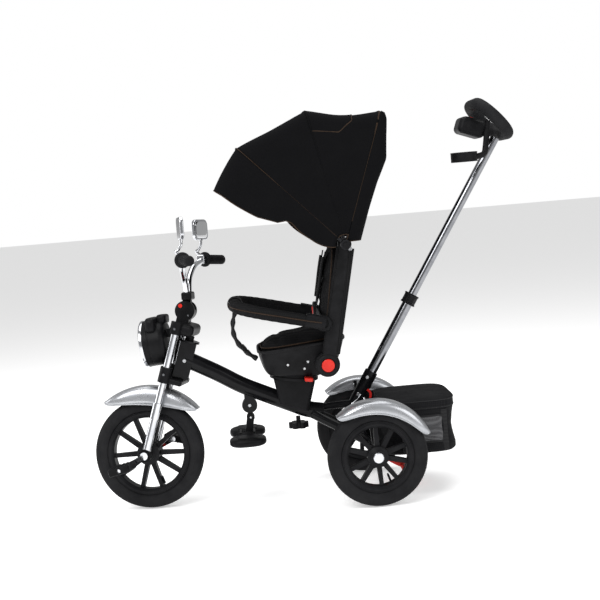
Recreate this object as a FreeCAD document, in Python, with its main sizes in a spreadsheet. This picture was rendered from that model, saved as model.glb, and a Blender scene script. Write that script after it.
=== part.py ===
import FreeCAD, Part
import math
import os

import Sketcher

# Children's tricycle with a swivelling seat, folding canopy and parent push bar.
# Frame: +Z up, the tricycle faces -X, its left side is -Y. The origin is on the ground in the
# middle of its box. The steering is turned a little to the right, as the tricycle stands.

Vector = FreeCAD.Vector
Rotation = FreeCAD.Rotation
Placement = FreeCAD.Placement
x_axis = Vector(1, 0, 0)
y_axis = Vector(0, 1, 0)
z_axis = Vector(0, 0, 1)

doc = FreeCAD.newDocument("tricycle")
sheet = doc.addObject("Spreadsheet::Sheet", "sizes")

table = {
    # wheels
    "front_wheel_radius": 150, "rear_wheel_radius": 130, "wheelbase": 600, "track": 440,
    "rear_axle_place": 153, "tyre_section": 37, "tyre_width": 44, "rim_depth": 16,
    "rim_width": 36, "spoke_width": 13, "spoke_thickness": 20,
    "spoke_pair_angle": 33, "front_hub_radius": 31, "front_hub_width": 62,
    "rear_hub_radius": 27, "rear_hub_width": 54, "hub_cap_radius": 14, "hub_cap_height": 6,
    "axle_radius": 6, "spin_clearance": 0.4,
    # steering
    "rake": 18.5, "steer_angle": 10, "fork_offset": 33, "leg_spacing": 104,
    "upper_leg_radius": 10, "lower_leg_radius": 11, "leg_sleeve_radius": 13.5,
    "leg_sleeve_low": 102, "leg_sleeve_length": 44, "leg_end_radius": 17,
    "lower_crown_height": 16, "lower_crown_low": 203,
    "leg_clamp_radius": 16, "lower_clamp_height": 42, "upper_crown_height": 33,
    "head_tube_length": 100, "head_tube_side": 44, "head_tube_gap": 1,
    "head_flange_radius": 29, "head_flange_height": 5, "steerer_radius": 12,
    "bearing_clearance": 0.5, "crown_gap": 12,
    # mudguards
    "front_guard_gap": 34, "front_guard_width": 66, "front_guard_start": 127,
    "front_guard_end": 38, "front_guard_side": 50, "guard_thickness": 1.6,
    "rear_guard_gap": 18, "rear_guard_width": 70, "rear_guard_start": 129,
    "rear_guard_end": 21, "rear_guard_side": 20,
    # headlight
    "lamp_radius": 62, "lamp_depth": 62, "lamp_reach": 77, "lamp_height": 451,
    "lamp_lean": 5, "bezel_thickness": 7, "bezel_lip": 8, "lens_bulge": 7, "lens_thickness": 3,
    "sound_box_width": 122, "sound_box_depth": 30, "sound_box_height": 42, "sound_box_rise": 46,
    # handlebar
    "joint_radius": 27, "joint_width": 36, "joint_ahead": 28, "joint_rise": 401,
    "hub_gap": 0.6, "bar_radius": 8.5, "bar_reach": 225, "collar_reach": 145, "bar_height": 664,
    "grip_radius": 14, "grip_length": 86, "collar_radius": 21, "collar_thickness": 6,
    "mirror_width": 72, "mirror_height": 58, "mirror_thickness": 10, "mirror_rise": 82, "mirror_toe_in": 20,
    "mirror_reach": 130, "stem_radius": 4, "clamp_block": 22, "button_radius": 5.5,
    "button_length": 7, "button_travel": 3,
    # crank
    "crank_length": 55, "crank_arm_width": 15, "crank_arm_thickness": 7, "crank_angle": 25,
    "crank_gap": 4, "pedal_length": 58, "pedal_width": 78, "pedal_height": 20,
    "pedal_pin_radius": 5, "clutch_radius": 20, "clutch_height": 6,
    # main frame
    "main_tube_radius": 22.5, "main_tube_bore": 19.5, "tube_plug": 6, "stay_radius": 13, "stay_spread": 62,
    "axle_tube_radius": 15, "axle_tube_reach": 182, "socket_angle": 32.4,
    "socket_radius": 18, "socket_length": 102, "push_tube_radius": 14, "push_wall": 1.6,
    "push_inner_radius": 12, "slide_clearance": 0.4, "lower_push_length": 236,
    "upper_push_length": 556, "upper_push_hidden": 70, "collar_clamp_radius": 19,
    "collar_clamp_height": 30,
    # push handle
    "handle_length": 146, "handle_width": 236, "handle_tube": 17, "handle_angle": 48,
    "console_length": 74, "console_width": 92, "console_height": 46, "cup_radius": 31,
    "cup_wall": 4, "cup_height": 23, "cup_side": 84, "cup_ahead": 88, "cup_arm_radius": 8,
    # seat
    "swivel_tilt": 7.5, "swivel_x": -39, "swivel_z": 318, "rotor_radius": 62,
    "rotor_height": 20, "rotor_gap": 0.6, "post_top_length": 112, "post_bottom_length": 82,
    "post_width": 92, "knob_radius": 27, "knob_height": 16, "knob_drop": 20,
    "shell_length": 236, "shell_width": 262, "shell_base": 344, "shell_wall": 5,
    "cushion_gap": 1.5, "hinge_x": 49, "hinge_z": 366, "hinge_reach": 138,
    "hinge_radius": 34, "recline_button_radius": 17,
    "arm_thickness": 16, "arm_depth": 34, "canopy_hinge_x": 117,
    "canopy_hinge_z": 678, "backrest_width": 236, "backrest_thickness": 52,
    "bar_pivot_x": 46, "bar_pivot_z": 478, "safety_bar_radius": 14, "safety_bar_reach": 234,
    "safety_bar_rise": 14, "safety_bar_half": 152, "bar_joint_radius": 21,
    "strap_width": 44, "strap_thickness": 8,
    # canopy
    "bow_radius": 4, "bow_shoulder": 20, "canopy_half": 196, "canopy_step": 12, "cloth": 2,
    "front_bow_reach": 366,
    "rear_bow_angle": 69, "mid_bow_angle": 102.2, "front_bow_angle": 133.8,
    "visor_angle": 19, "visor_inner": 161, "panel_inner": 66, "hinge_disc_radius": 18,
    # bag and footrest
    "bag_front": 183, "bag_length": 208, "bag_front_width": 206, "bag_mid_width": 296,
    "bag_rear_width": 210, "bag_top": 226, "bag_bottom": 108, "bag_wall": 3,
    "lid_height": 26, "lid_gap": 0.6, "foot_pivot_x": -165, "foot_pivot_z": 224,
    "foot_post_width": 20, "foot_plate_length": 96, "foot_plate_width": 92,
    "foot_plate_thickness": 20, "foot_plate_z": 172, "brake_length": 86,
}
for row, (name, value) in enumerate(table.items(), start=1):
    sheet.set(f"A{row}", name)
    sheet.set(f"B{row}", str(value))
    sheet.setAlias(f"B{row}", name)
doc.recompute()

pieces = []


def size(name):
    return float(sheet.get(name))


def keep(piece, label):
    """Give a finished sub-part its own label and put it on the export list."""
    piece.Label = label
    pieces.append(piece)
    return piece


def put(piece, position=(0, 0, 0), rotation=Rotation()):
    piece.Placement = Placement(Vector(*position), rotation)
    return piece


# ---- drawing helpers -------------------------------------------------------------------------

def outline(sketch, points):
    """A closed polygon whose corners follow expressions."""
    count = len(points)
    start = [Vector(9 * math.cos(2 * math.pi * i / count), 9 * math.sin(2 * math.pi * i / count), 0)
             for i in range(count)]
    first = sketch.GeometryCount
    sketch.addGeometry([Part.LineSegment(start[i], start[(i + 1) % count]) for i in range(count)], False)
    for i in range(count):
        sketch.addConstraint(Sketcher.Constraint("Coincident", first + i, 2, first + (i + 1) % count, 1))
    for i, corner in enumerate(points):
        for kind, rule, value in zip(("DistanceX", "DistanceY"), corner, (start[i].x, start[i].y)):
            number = sketch.addConstraint(Sketcher.Constraint(kind, -1, 1, first + i, 1, value))
            sketch.setExpression(f"Constraints[{number}]", rule)


def disc(sketch, radius, centre=("0", "0")):
    """A circle whose radius and centre follow expressions."""
    circle = sketch.addGeometry(Part.Circle(Vector(1, 1, 0), z_axis, 5), False)
    number = sketch.addConstraint(Sketcher.Constraint("Radius", circle, 5))
    sketch.setExpression(f"Constraints[{number}]", radius)
    for kind, rule in zip(("DistanceX", "DistanceY"), centre):
        number = sketch.addConstraint(Sketcher.Constraint(kind, -1, 1, circle, 3, 1))
        sketch.setExpression(f"Constraints[{number}]", rule)


def sketch_in(body, role):
    plane = next(feature for feature in body.Origin.OriginFeatures if feature.Role == role)
    sketch = body.newObject("Sketcher::SketchObject", "outline")
    sketch.AttachmentSupport = [(plane, "")]
    sketch.MapMode = "FlatFace"
    return sketch


def add_turning(body, section):
    """Revolve a (radius, height) section about the body's Z axis."""
    sketch = sketch_in(body, "XZ_Plane")
    outline(sketch, section)
    turning = body.newObject("PartDesign::Revolution", "turning")
    turning.Profile = sketch
    turning.ReferenceAxis = (sketch, ["V_Axis"])
    turning.Angle = 360
    return turning


def turned(label, section):
    body = doc.addObject("PartDesign::Body", label)
    add_turning(body, section)
    return keep(body, label)


def add_pad(body, role, length, draw):
    """Pad a sketch both ways from its plane."""
    sketch = sketch_in(body, role)
    draw(sketch)
    pad = body.newObject("PartDesign::Pad", "pad")
    pad.Profile = sketch
    pad.SideType = "Symmetric"
    pad.setExpression("Length", length)
    return pad


def add_pocket(body, role, draw):
    """Cut a sketch through the whole body."""
    sketch = sketch_in(body, role)
    draw(sketch)
    pocket = body.newObject("PartDesign::Pocket", "pocket")
    pocket.Profile = sketch
    pocket.SideType = "Symmetric"
    pocket.Length = 1000
    return pocket


def box_points(length, width):
    return [(f"-({length})/2", f"-({width})/2"), (f"({length})/2", f"-({width})/2"),
            (f"({length})/2", f"({width})/2"), (f"-({length})/2", f"({width})/2")]


def part(kind, **rules):
    """A Part primitive with its sizes bound to the sheet."""
    item = doc.addObject(f"Part::{kind}", kind.lower())
    for name, rule in rules.items():
        item.setExpression(name, rule)
    return item


def feature(label, shape):
    item = doc.addObject("Part::Feature", label)
    item.Shape = shape
    return keep(item, label)


def route(points, share=0.45):
    """Straight runs through the points, joined by tangent arcs."""
    points = [Vector(*p) for p in points]
    edges = []
    last = points[0]
    for before, corner, after in zip(points, points[1:], points[2:]):
        back = (before - corner)
        ahead = (after - corner)
        reach = share * min(back.Length, ahead.Length)
        back.normalize()
        ahead.normalize()
        into = corner + back * reach
        out = corner + ahead * reach
        half = math.acos(max(-1, min(1, back.dot(ahead)))) / 2
        middle = (back + ahead).normalize()
        radius = reach * math.tan(half)
        centre = corner + middle * math.hypot(reach, radius)
        crest = centre - middle * radius
        edges.append(Part.LineSegment(last, into).toShape())
        edges.append(Part.Arc(into, crest, out).toShape())
        last = out
    edges.append(Part.LineSegment(last, points[-1]).toShape())
    return Part.Wire(edges)


def swept(label, points, radius, share=0.45, exported=True):
    """A round tube along a route: its radius follows the sheet."""
    spine = doc.addObject("Part::Feature", f"{label}_route")
    spine.Shape = route(points, share)
    ring = doc.addObject("Part::Circle", f"{label}_ring")
    ring.setExpression("Radius", radius)
    start = Vector(*points[0])
    ring.Placement = Placement(start, Rotation(z_axis, Vector(*points[1]) - start))
    tube = doc.addObject("Part::Sweep", label)
    tube.Sections = [ring]
    tube.Spine = (spine, [f"Edge{i}" for i in range(1, len(spine.Shape.Edges) + 1)])
    tube.Solid = True
    tube.Frenet = False
    return keep(tube, label) if exported else tube


def rounded_box(length, width, height, radius, centre=(0, 0, 0)):
    shape = Part.makeBox(length, width, height, Vector(-length / 2, -width / 2, -height / 2))
    shape = shape.makeFillet(radius, shape.Edges)
    shape.translate(Vector(*centre))
    return shape


def prism(points, width, middle=0):
    """A solid from an XZ outline, wide across Y about the middle."""
    corners = [Vector(x, middle - width / 2, z) for x, z in points]
    face = Part.Face(Part.makePolygon(corners + [corners[0]]))
    return face.extrude(Vector(0, width, 0))


def rod(start, end, radius):
    start = Vector(*start)
    run = Vector(*end) - start
    return Part.makeCylinder(radius, run.Length, start, run)


# ---- frames of reference ---------------------------------------------------------------------

rake = math.radians(size("rake"))
front_hub = Vector(size("rear_axle_place") - size("wheelbase"), 0, size("front_wheel_radius"))
rear_hub = Vector(size("rear_axle_place"), 0, size("rear_wheel_radius"))
offset = size("fork_offset")
steer_foot = front_hub + Vector(math.cos(rake), 0, -math.sin(rake)) * offset
upright = Placement(steer_foot, Rotation(y_axis, size("rake")))
steering = upright * Placement(Vector(), Rotation(z_axis, -size("steer_angle")))
steer_turn = steering * upright.inverse()
across = Rotation(x_axis, -90)


def on_fork(piece, position=(0, 0, 0), rotation=Rotation()):
    """Place a piece that was made in the fork's own frame: z up the steering axis."""
    piece.Placement = steering * Placement(Vector(*position), rotation)
    return piece


def steered(piece):
    """Turn a piece that was made with the steering straight ahead."""
    piece.Placement = steer_turn * piece.Placement
    return piece


# ---- wheels ----------------------------------------------------------------------------------

def tyre(label, radius):
    inner = f"{radius} - sizes.tyre_section"
    half = [("0.36", inner), ("0.47", f"{inner} + sizes.tyre_section * 0.18"),
            ("0.5", f"{inner} + sizes.tyre_section * 0.45"),
            ("0.44", f"{inner} + sizes.tyre_section * 0.8"), ("0.2", radius)]
    lower = [(height, f"-sizes.tyre_width * {share}") for share, height in half]
    upper = [(height, f"sizes.tyre_width * {share}") for share, height in reversed(half)]
    return turned(label, lower + upper)


def rim(label, radius, hub_radius, hub_width):
    """A hub, five pairs of blade spokes and the rim, in one moulding."""
    body = doc.addObject("PartDesign::Body", label)
    bore = "(sizes.axle_radius + sizes.spin_clearance)"
    outer = f"({radius} - sizes.tyre_section)"
    inner = f"({outer} - sizes.rim_depth)"
    add_turning(body, [(bore, f"-{hub_width}/2"), (f"{hub_radius} * 0.6", f"-{hub_width}/2"),
                       (hub_radius, f"-{hub_width}/2 + 8"), (hub_radius, f"{hub_width}/2 - 8"),
                       (f"{hub_radius} * 0.6", f"{hub_width}/2"), (bore, f"{hub_width}/2")])

    def spokes(sketch):
        for side in ("-1", "1"):
            angle = f"(sizes.spoke_pair_angle * {side} / 2 * 1 deg)"
            near = f"({hub_radius} - 4)"
            far = f"({inner} + 2)"
            corners = [(near, "-1"), (far, "-0.8"), (far, "0.8"), (near, "1")]
            outline(sketch, [
                (f"{r} * cos{angle} - {w} * sizes.spoke_width / 2 * sin{angle}",
                 f"{r} * sin{angle} + {w} * sizes.spoke_width / 2 * cos{angle}") for r, w in corners])

    pair = add_pad(body, "XY_Plane", "sizes.spoke_thickness", spokes)
    doc.recompute()
    pattern = body.newObject("PartDesign::PolarPattern", "pairs")
    pattern.Originals = [pair]
    pattern.Axis = (pair.Profile[0], ["N_Axis"])
    pattern.Angle = 360
    pattern.Occurrences = 5
    body.Tip = pattern
    add_turning(body, [(inner, "-sizes.rim_width/2 + 3"), (f"{inner} + 3", "-sizes.rim_width/2"),
                       (outer, "-sizes.rim_width/2"), (outer, "sizes.rim_width/2"),
                       (f"{inner} + 3", "sizes.rim_width/2"), (inner, "sizes.rim_width/2 - 3")])
    return keep(body, label)


def on_front_hub(piece, spin=0):
    piece.Placement = steer_turn * Placement(front_hub, Rotation(y_axis, spin) * across)
    return piece


front_radius = "sizes.front_wheel_radius"
rear_radius = "sizes.rear_wheel_radius"
on_front_hub(tyre("front_tyre", front_radius))
on_front_hub(rim("front_rim", front_radius, "sizes.front_hub_radius", "sizes.front_hub_width"), 90)
rear_sides = {"left": -1, "right": 1}
for side, way in rear_sides.items():
    place = rear_hub + Vector(0, way * size("track") / 2, 0)
    put(tyre(f"rear_tyre_{side}", rear_radius), place, across)
    put(rim(f"rear_rim_{side}", rear_radius, "sizes.rear_hub_radius", "sizes.rear_hub_width"),
        place, Rotation(y_axis, 20 * way + 90) * across)
axle_half = size("track") / 2 + size("rear_hub_width") / 2 + size("spin_clearance")
axle_shape = Part.makeCylinder(size("axle_radius"), 2 * axle_half, Vector(0, 0, -axle_half))
for way in (-1, 1):
    cap = Part.makeCylinder(size("hub_cap_radius"), size("hub_cap_height"), Vector(0, 0, way * axle_half),
                            z_axis * way)
    outer_edge = [edge for edge in cap.Edges if abs(edge.CenterOfMass.z) > axle_half + 1]
    axle_shape = axle_shape.fuse(cap.makeFillet(size("hub_cap_height") / 2, outer_edge[:1]))
put(feature("rear_axle", axle_shape.removeSplitter()), rear_hub, across)

clutch = turned("clutch_knob", [
    ("sizes.axle_radius + sizes.spin_clearance", "0"), ("sizes.clutch_radius", "0"),
    ("sizes.clutch_radius", "sizes.clutch_height * 0.6"), ("sizes.clutch_radius - 3", "sizes.clutch_height"),
    ("sizes.axle_radius + sizes.spin_clearance", "sizes.clutch_height")])
clutch.Placement = steer_turn * Placement(
    front_hub + Vector(0, size("front_hub_width") / 2 + size("spin_clearance"), 0), across)

# ---- crank and pedals ------------------------------------------------------------------------

leg_reach = size("leg_spacing") / 2
arm_inner = leg_reach + size("lower_leg_radius") + size("crank_gap")
arm_outer = arm_inner + size("crank_arm_thickness")
pedal_start = arm_outer + size("crank_gap")
crank_place = Placement(front_hub, Rotation(y_axis, -size("crank_angle")))
crank_shape = Part.makeCylinder(size("axle_radius"), 2 * arm_outer, Vector(0, -arm_outer, 0), y_axis)
for way in (-1, 1):
    width = size("crank_arm_width")
    inner = arm_inner if way > 0 else -arm_outer
    pin_x = way * size("crank_length")
    thickness = size("crank_arm_thickness")
    arm = Part.makeBox(size("crank_length"), thickness, width * 0.8,
                       Vector(min(0, pin_x), inner, -width * 0.4))
    boss = Part.makeCylinder(width * 0.7, thickness, Vector(0, inner, 0), y_axis)
    eye = Part.makeCylinder(width * 0.5, thickness, Vector(pin_x, inner, 0), y_axis)
    pin = rod((pin_x, way * arm_outer, 0), (pin_x, way * (pedal_start + size("pedal_width") - 6), 0),
              size("pedal_pin_radius"))
    crank_shape = crank_shape.fuse([arm, boss, eye, pin])
crankset = feature("crankset", crank_shape.removeSplitter())
crankset.Placement = steer_turn * crank_place

for side, way in rear_sides.items():
    body = doc.addObject("PartDesign::Body", f"pedal_{side}")
    tread = add_pad(body, "XY_Plane", "sizes.pedal_height",
                    lambda sketch: outline(sketch, box_points("sizes.pedal_length", "sizes.pedal_width")))
    doc.recompute()
    rounding = body.newObject("PartDesign::Fillet", "rounding")
    rounding.Base = (tread, [f"Edge{i}" for i in range(1, 13)])
    rounding.Radius = 4
    add_pocket(body, "XZ_Plane",
               lambda sketch: disc(sketch, "sizes.pedal_pin_radius + sizes.spin_clearance"))
    keep(body, f"pedal_{side}")
    middle = pedal_start + size("pedal_width") / 2
    pin = crank_place.multVec(Vector(way * size("crank_length"), way * middle, 0))
    body.Placement = steer_turn * Placement(pin, Rotation(y_axis, 12 * way))

# ---- fork ------------------------------------------------------------------------------------

crown_low = size("lower_crown_low")
crown_top = crown_low + size("lower_crown_height")
head_low = crown_top + size("head_tube_gap")
head_top = head_low + size("head_tube_length") + size("head_flange_height")
upper_low = head_top + size("crown_gap")
upper_top = upper_low + size("upper_crown_height")
sleeve_low = size("leg_sleeve_low")
sleeve_top = sleeve_low + size("leg_sleeve_length")


def leg_tube(radius, low, high, reach):
    return Part.makeCylinder(radius, high - low, Vector(-offset, reach, low))


leg_solids = []
end_solids = []
for way in (-1, 1):
    reach = way * leg_reach
    width = 2 * size("lower_leg_radius")
    eye = Part.makeCylinder(size("leg_end_radius"), width, Vector(-offset, reach - width / 2, 0), y_axis)
    bore = Part.makeCylinder(size("axle_radius") + size("spin_clearance"), width,
                             Vector(-offset, reach - width / 2, 0), y_axis)
    leg = leg_tube(size("lower_leg_radius"), 0, sleeve_low, reach).fuse([
        leg_tube(size("leg_sleeve_radius"), sleeve_low, sleeve_top, reach),
        leg_tube(size("upper_leg_radius"), sleeve_top, upper_top, reach)])
    leg_solids.append(max(leg.cut(eye).Solids, key=lambda solid: solid.Volume))
    end_solids.append(eye.cut(bore))
on_fork(feature("fork_legs", Part.makeCompound(leg_solids)))
on_fork(feature("fork_ends", Part.makeCompound(end_solids)))


def crown(low, plate_height, clamp_height, rear):
    """A plate that clamps both legs and holds the steerer."""
    half = leg_reach
    plate = rounded_box(offset + 2 * rear, 2 * half + 8, plate_height, plate_height * 0.38,
                        (-offset / 2, 0, low + plate_height / 2))
    clamps = [leg_tube(size("leg_clamp_radius"), low, low + clamp_height, way * half) for way in (-1, 1)]
    legs = [leg_tube(size("upper_leg_radius"), 0, low + 500, way * half) for way in (-1, 1)]
    return plate.fuse(clamps).cut(Part.makeCompound(legs))


guard_outer = size("front_wheel_radius") + size("front_guard_gap")
lower_crown = crown(crown_low, size("lower_crown_height"), size("lower_clamp_height"), 17)
bracket_low = guard_outer
bracket = Part.makeBox(22, 24, crown_low - bracket_low, Vector(-offset - 11, -12, bracket_low))
guard_round = Part.makeCylinder(guard_outer, 200, Vector(-offset, -100, 0), y_axis)
lower_crown = lower_crown.fuse(bracket).cut(guard_round)
shaft = Part.makeCylinder(size("steerer_radius"), upper_low - crown_top, Vector(0, 0, crown_top))
on_fork(feature("lower_crown", lower_crown.fuse(shaft).removeSplitter()))

head = doc.addObject("PartDesign::Body", "head_tube")
side_length = "sizes.head_tube_side"
add_pad(head, "XY_Plane", "sizes.head_tube_length",
        lambda sketch: outline(sketch, box_points(side_length, side_length)))
flange_low = "sizes.head_tube_length / 2"
add_turning(head, [("1", flange_low), ("sizes.head_flange_radius", flange_low),
                   ("sizes.head_flange_radius", f"{flange_low} + sizes.head_flange_height"),
                   ("1", f"{flange_low} + sizes.head_flange_height")])
add_pocket(head, "XY_Plane", lambda sketch: disc(sketch, "sizes.steerer_radius + sizes.bearing_clearance"))
keep(head, "head_tube")
head_middle = head_low + size("head_tube_length") / 2
head.Placement = upright * Placement(Vector(0, 0, head_middle), Rotation())


def arc_point(centre, radius, angle):
    angle = math.radians(angle)
    return Vector(centre.x + radius * math.cos(angle), centre.y, centre.z + radius * math.sin(angle))


def guard(hub, radius, width, start, end, depth, crescent):
    """A curved U channel over a wheel, with side walls that run out to points."""
    wall = size("guard_thickness")

    def ring(outer, inner, half):
        face = Part.Face(Part.makePolygon([
            Vector(hub.x + inner, hub.y - half, hub.z), Vector(hub.x + outer, hub.y - half, hub.z),
            Vector(hub.x + outer, hub.y + half, hub.z), Vector(hub.x + inner, hub.y + half, hub.z),
            Vector(hub.x + inner, hub.y - half, hub.z)]))
        face.rotate(hub, y_axis, -end)
        return face.revolve(hub, y_axis, -(start - end))

    shell = ring(radius, radius - depth, width / 2)
    shell = shell.makeFillet(wall * 4, [edge for edge in shell.Edges if abs(edge.Length - math.radians(
        start - end) * radius) < 0.5])
    shell = shell.cut(ring(radius - wall, radius - depth - 1, width / 2 - wall))
    if crescent:
        tip = arc_point(hub, radius - 1, start)
        other = arc_point(hub, radius - 1, end)
        low = arc_point(hub, radius - depth, (start + end) / 2)
        hollow = Part.Arc(tip, low, other).toShape().Curve
        shell = shell.cut(Part.makeCylinder(hollow.Radius, 400, Vector(hollow.Center.x, hub.y - 200,
                                                                       hollow.Center.z), y_axis))
    return max(shell.Solids, key=lambda solid: solid.Volume)


steered(feature("front_mudguard", guard(
    front_hub, guard_outer, size("front_guard_width"), size("front_guard_start"),
    size("front_guard_end"), size("front_guard_side"), True)))
rear_guard_radius = size("rear_wheel_radius") + size("rear_guard_gap")
rear_guards = [guard(rear_hub + Vector(0, way * size("track") / 2, 0), rear_guard_radius,
                     size("rear_guard_width"), size("rear_guard_start"), size("rear_guard_end"),
                     size("rear_guard_side"), False) for way in (-1, 1)]
feature("rear_mudguards", Part.makeCompound(rear_guards))

# ---- headlight and sound box -----------------------------------------------------------------

lamp_back = Vector(front_hub.x + size("lamp_reach"), 0, size("lamp_height"))
lamp_face = Rotation(y_axis, -90 - size("lamp_lean"))
inner_lamp = "sizes.lamp_radius - sizes.bezel_lip"
housing = turned("headlight_housing", [
    ("0", "0"), ("sizes.lamp_radius * 0.62", "0"), ("sizes.lamp_radius * 0.9", "sizes.lamp_depth * 0.16"),
    ("sizes.lamp_radius", "sizes.lamp_depth * 0.45"), ("sizes.lamp_radius", "sizes.lamp_depth"),
    ("0", "sizes.lamp_depth")])
bezel = turned("headlight_bezel", [
    (inner_lamp, "sizes.lamp_depth"), ("sizes.lamp_radius + 2", "sizes.lamp_depth"),
    ("sizes.lamp_radius + 2", "sizes.lamp_depth + sizes.bezel_thickness * 0.6"),
    ("sizes.lamp_radius - 1", "sizes.lamp_depth + sizes.bezel_thickness"),
    (inner_lamp, "sizes.lamp_depth + sizes.bezel_thickness * 0.8")])
lens = turned("headlight_lens", [
    ("0", "sizes.lamp_depth"), (inner_lamp, "sizes.lamp_depth"),
    (inner_lamp, "sizes.lamp_depth + sizes.lens_thickness"),
    (f"({inner_lamp}) * 0.6", "sizes.lamp_depth + sizes.lens_thickness + sizes.lens_bulge * 0.7"),
    ("0", "sizes.lamp_depth + sizes.lens_thickness + sizes.lens_bulge")])
for item in (housing, bezel, lens):
    steered(put(item, lamp_back, lamp_face))
doc.recompute()
housing_shape = housing.Shape.copy()

box_width = size("sound_box_width")
pods = rounded_box(size("sound_box_depth"), box_width, size("sound_box_height"), 7,
                   lamp_back + Vector(-36, 0, size("sound_box_rise")))
bump = rounded_box(26, box_width * 0.5, 24, 6, lamp_back + Vector(-14, 0, size("lamp_radius") - 1))
pod_shape = pods.fuse(bump)
pod_shape.Placement = steer_turn * pod_shape.Placement

# ---- upper crown with the joint housing ------------------------------------------------------

joint_centre = upright.multVec(Vector(-size("joint_ahead"), 0, size("joint_rise")))
joint_radius = size("joint_radius")
joint_width = size("joint_width")
tongue_radius = joint_radius - 3
slot_half = joint_width / 4 + size("hub_gap")
crown_shape = crown(upper_low, size("upper_crown_height"), size("upper_crown_height"), 15)
crown_shape.Placement = upright
neck = Part.makeBox(34, joint_width, 30, Vector(-size("joint_ahead") - 17, -joint_width / 2, upper_top - 8))
neck.Placement = upright
ball = Part.makeCylinder(joint_radius, joint_width, joint_centre - Vector(0, joint_width / 2, 0), y_axis)
slot = Part.makeCylinder(tongue_radius + size("hub_gap"), 2 * slot_half,
                         joint_centre - Vector(0, slot_half, 0), y_axis)
mouth = Part.makeBox(80, 2 * slot_half, 60, Vector(joint_centre.x - 40, -slot_half, joint_centre.z))
button_place = joint_centre + Vector(-10.5, -joint_width / 2, 14.5)
button_depth = size("button_length") - 2
button_hole = Part.makeCylinder(size("button_radius") + 0.3, button_depth + size("button_travel"),
                                button_place, y_axis)
legs_cut = Part.makeCompound([leg_tube(size("upper_leg_radius"), 0, upper_top + 1, way * leg_reach)
                              for way in (-1, 1)])
legs_cut.Placement = upright
arm_back = Part.makeBox(34, 28, 22, Vector(lamp_back.x - 8, -14, lamp_back.z + 10))
arm_back = arm_back.common(Part.makeBox(400, 400, 800, Vector(lamp_back.x + 0.1, -200, 0)))
pin_shape = Part.makeCylinder(4, joint_width - 4, joint_centre - Vector(0, joint_width / 2 - 2, 0), y_axis)
crown_shape = crown_shape.fuse([neck, ball]).cut(slot.fuse(mouth)).cut(legs_cut).cut(button_hole)
crown_shape = crown_shape.fuse(pin_shape).removeSplitter()
crown_shape.Placement = steer_turn * crown_shape.Placement
lamp_arm = arm_back
lamp_arm.Placement = steer_turn * lamp_arm.Placement
pod_shape = pod_shape.cut(housing_shape).cut(bezel.Shape).cut(crown_shape)
feature("sound_box", max(pod_shape.Solids, key=lambda solid: solid.Volume))
feature("upper_crown", crown_shape.fuse(lamp_arm.cut(housing_shape)).removeSplitter())

# ---- handlebar -------------------------------------------------------------------------------

clamp_place = joint_centre + Vector(9, 0, 34)
clamp_height = 22
tongue = Part.makeCylinder(tongue_radius, joint_width / 2, joint_centre - Vector(0, joint_width / 4, 0),
                           y_axis)
tongue_neck = Part.makeBox(22, joint_width / 2, 40, Vector(clamp_place.x - 14, -joint_width / 4,
                                                           joint_centre.z))
clamp_block = rounded_box(28, 52, clamp_height, 5, clamp_place + Vector(0, 0, clamp_height / 2 - 6))
pin_bore = Part.makeCylinder(4 + size("spin_clearance"), joint_width, joint_centre - Vector(
    0, joint_width / 2, 0), y_axis)
steered(feature("handlebar_clamp", tongue.fuse([tongue_neck, clamp_block]).cut(pin_bore).removeSplitter()))

clamp_top = clamp_place.z + clamp_height - 6
bar_z = size("bar_height")
bar_points = [(clamp_place.x, 15, clamp_top), (clamp_place.x, 26, clamp_top + 34),
              (clamp_place.x + 5, 74, bar_z - 18), (clamp_place.x + 23, size("collar_reach"), bar_z),
              (clamp_place.x + 58, size("bar_reach"), bar_z - 4)]
bar_halves = []
for way in (-1, 1):
    points = [(x, way * y, z) for x, y, z in bar_points]
    start = Vector(*points[0])
    ring = Part.Wire(Part.Circle(start, Vector(*points[1]) - start, size("bar_radius")).toShape())
    bar_halves.append(route(points).makePipeShell([ring], True, False))
bar_shape = Part.makeCompound(bar_halves)
steered(feature("handlebar", bar_shape.cut(clamp_block)))

grips = []
blocks = []
mirror_spots = {}
for side, way in rear_sides.items():
    inner = Vector(bar_points[3][0], way * bar_points[3][1], bar_points[3][2])
    end = Vector(bar_points[4][0], way * bar_points[4][1], bar_points[4][2])
    run = (end - inner).normalize()
    start = end - run * (size("grip_length") - 6)
    grip = Part.makeCylinder(size("grip_radius"), size("grip_length"), start, run)
    grip = grip.makeFillet(4, [edge for edge in grip.Edges if (edge.CenterOfMass - start).dot(run) > 70])
    collar = Part.makeCylinder(size("collar_radius"), size("collar_thickness"), start, -run)
    grips.append(grip.fuse(collar).cut(bar_shape).removeSplitter())
    block_place = inner - run * 14
    block = rounded_box(size("clamp_block"), 20, size("clamp_block") + 4, 3, block_place)
    foot = block_place + Vector(0, 0, size("clamp_block") / 2)
    top = Vector(block_place.x + 4, way * size("mirror_reach"), bar_z + size("mirror_rise") - 30)
    points = [foot, foot + Vector(-14, 0, 12), top + Vector(-10, 0, -26), top + Vector(0, 0, -12), top]
    ring = Part.Wire(Part.Circle(foot, points[1] - foot, size("stem_radius")).toShape())
    stem = route([tuple(p) for p in points]).makePipeShell([ring], True, False)
    blocks.append(block.fuse(stem).cut(bar_shape).cut(Part.makeCompound([grips[-1]])).removeSplitter())
    mirror_spots[side] = top
steered(feature("grips", Part.makeCompound(grips)))
steered(feature("mirror_stems", Part.makeCompound(blocks)))
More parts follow.
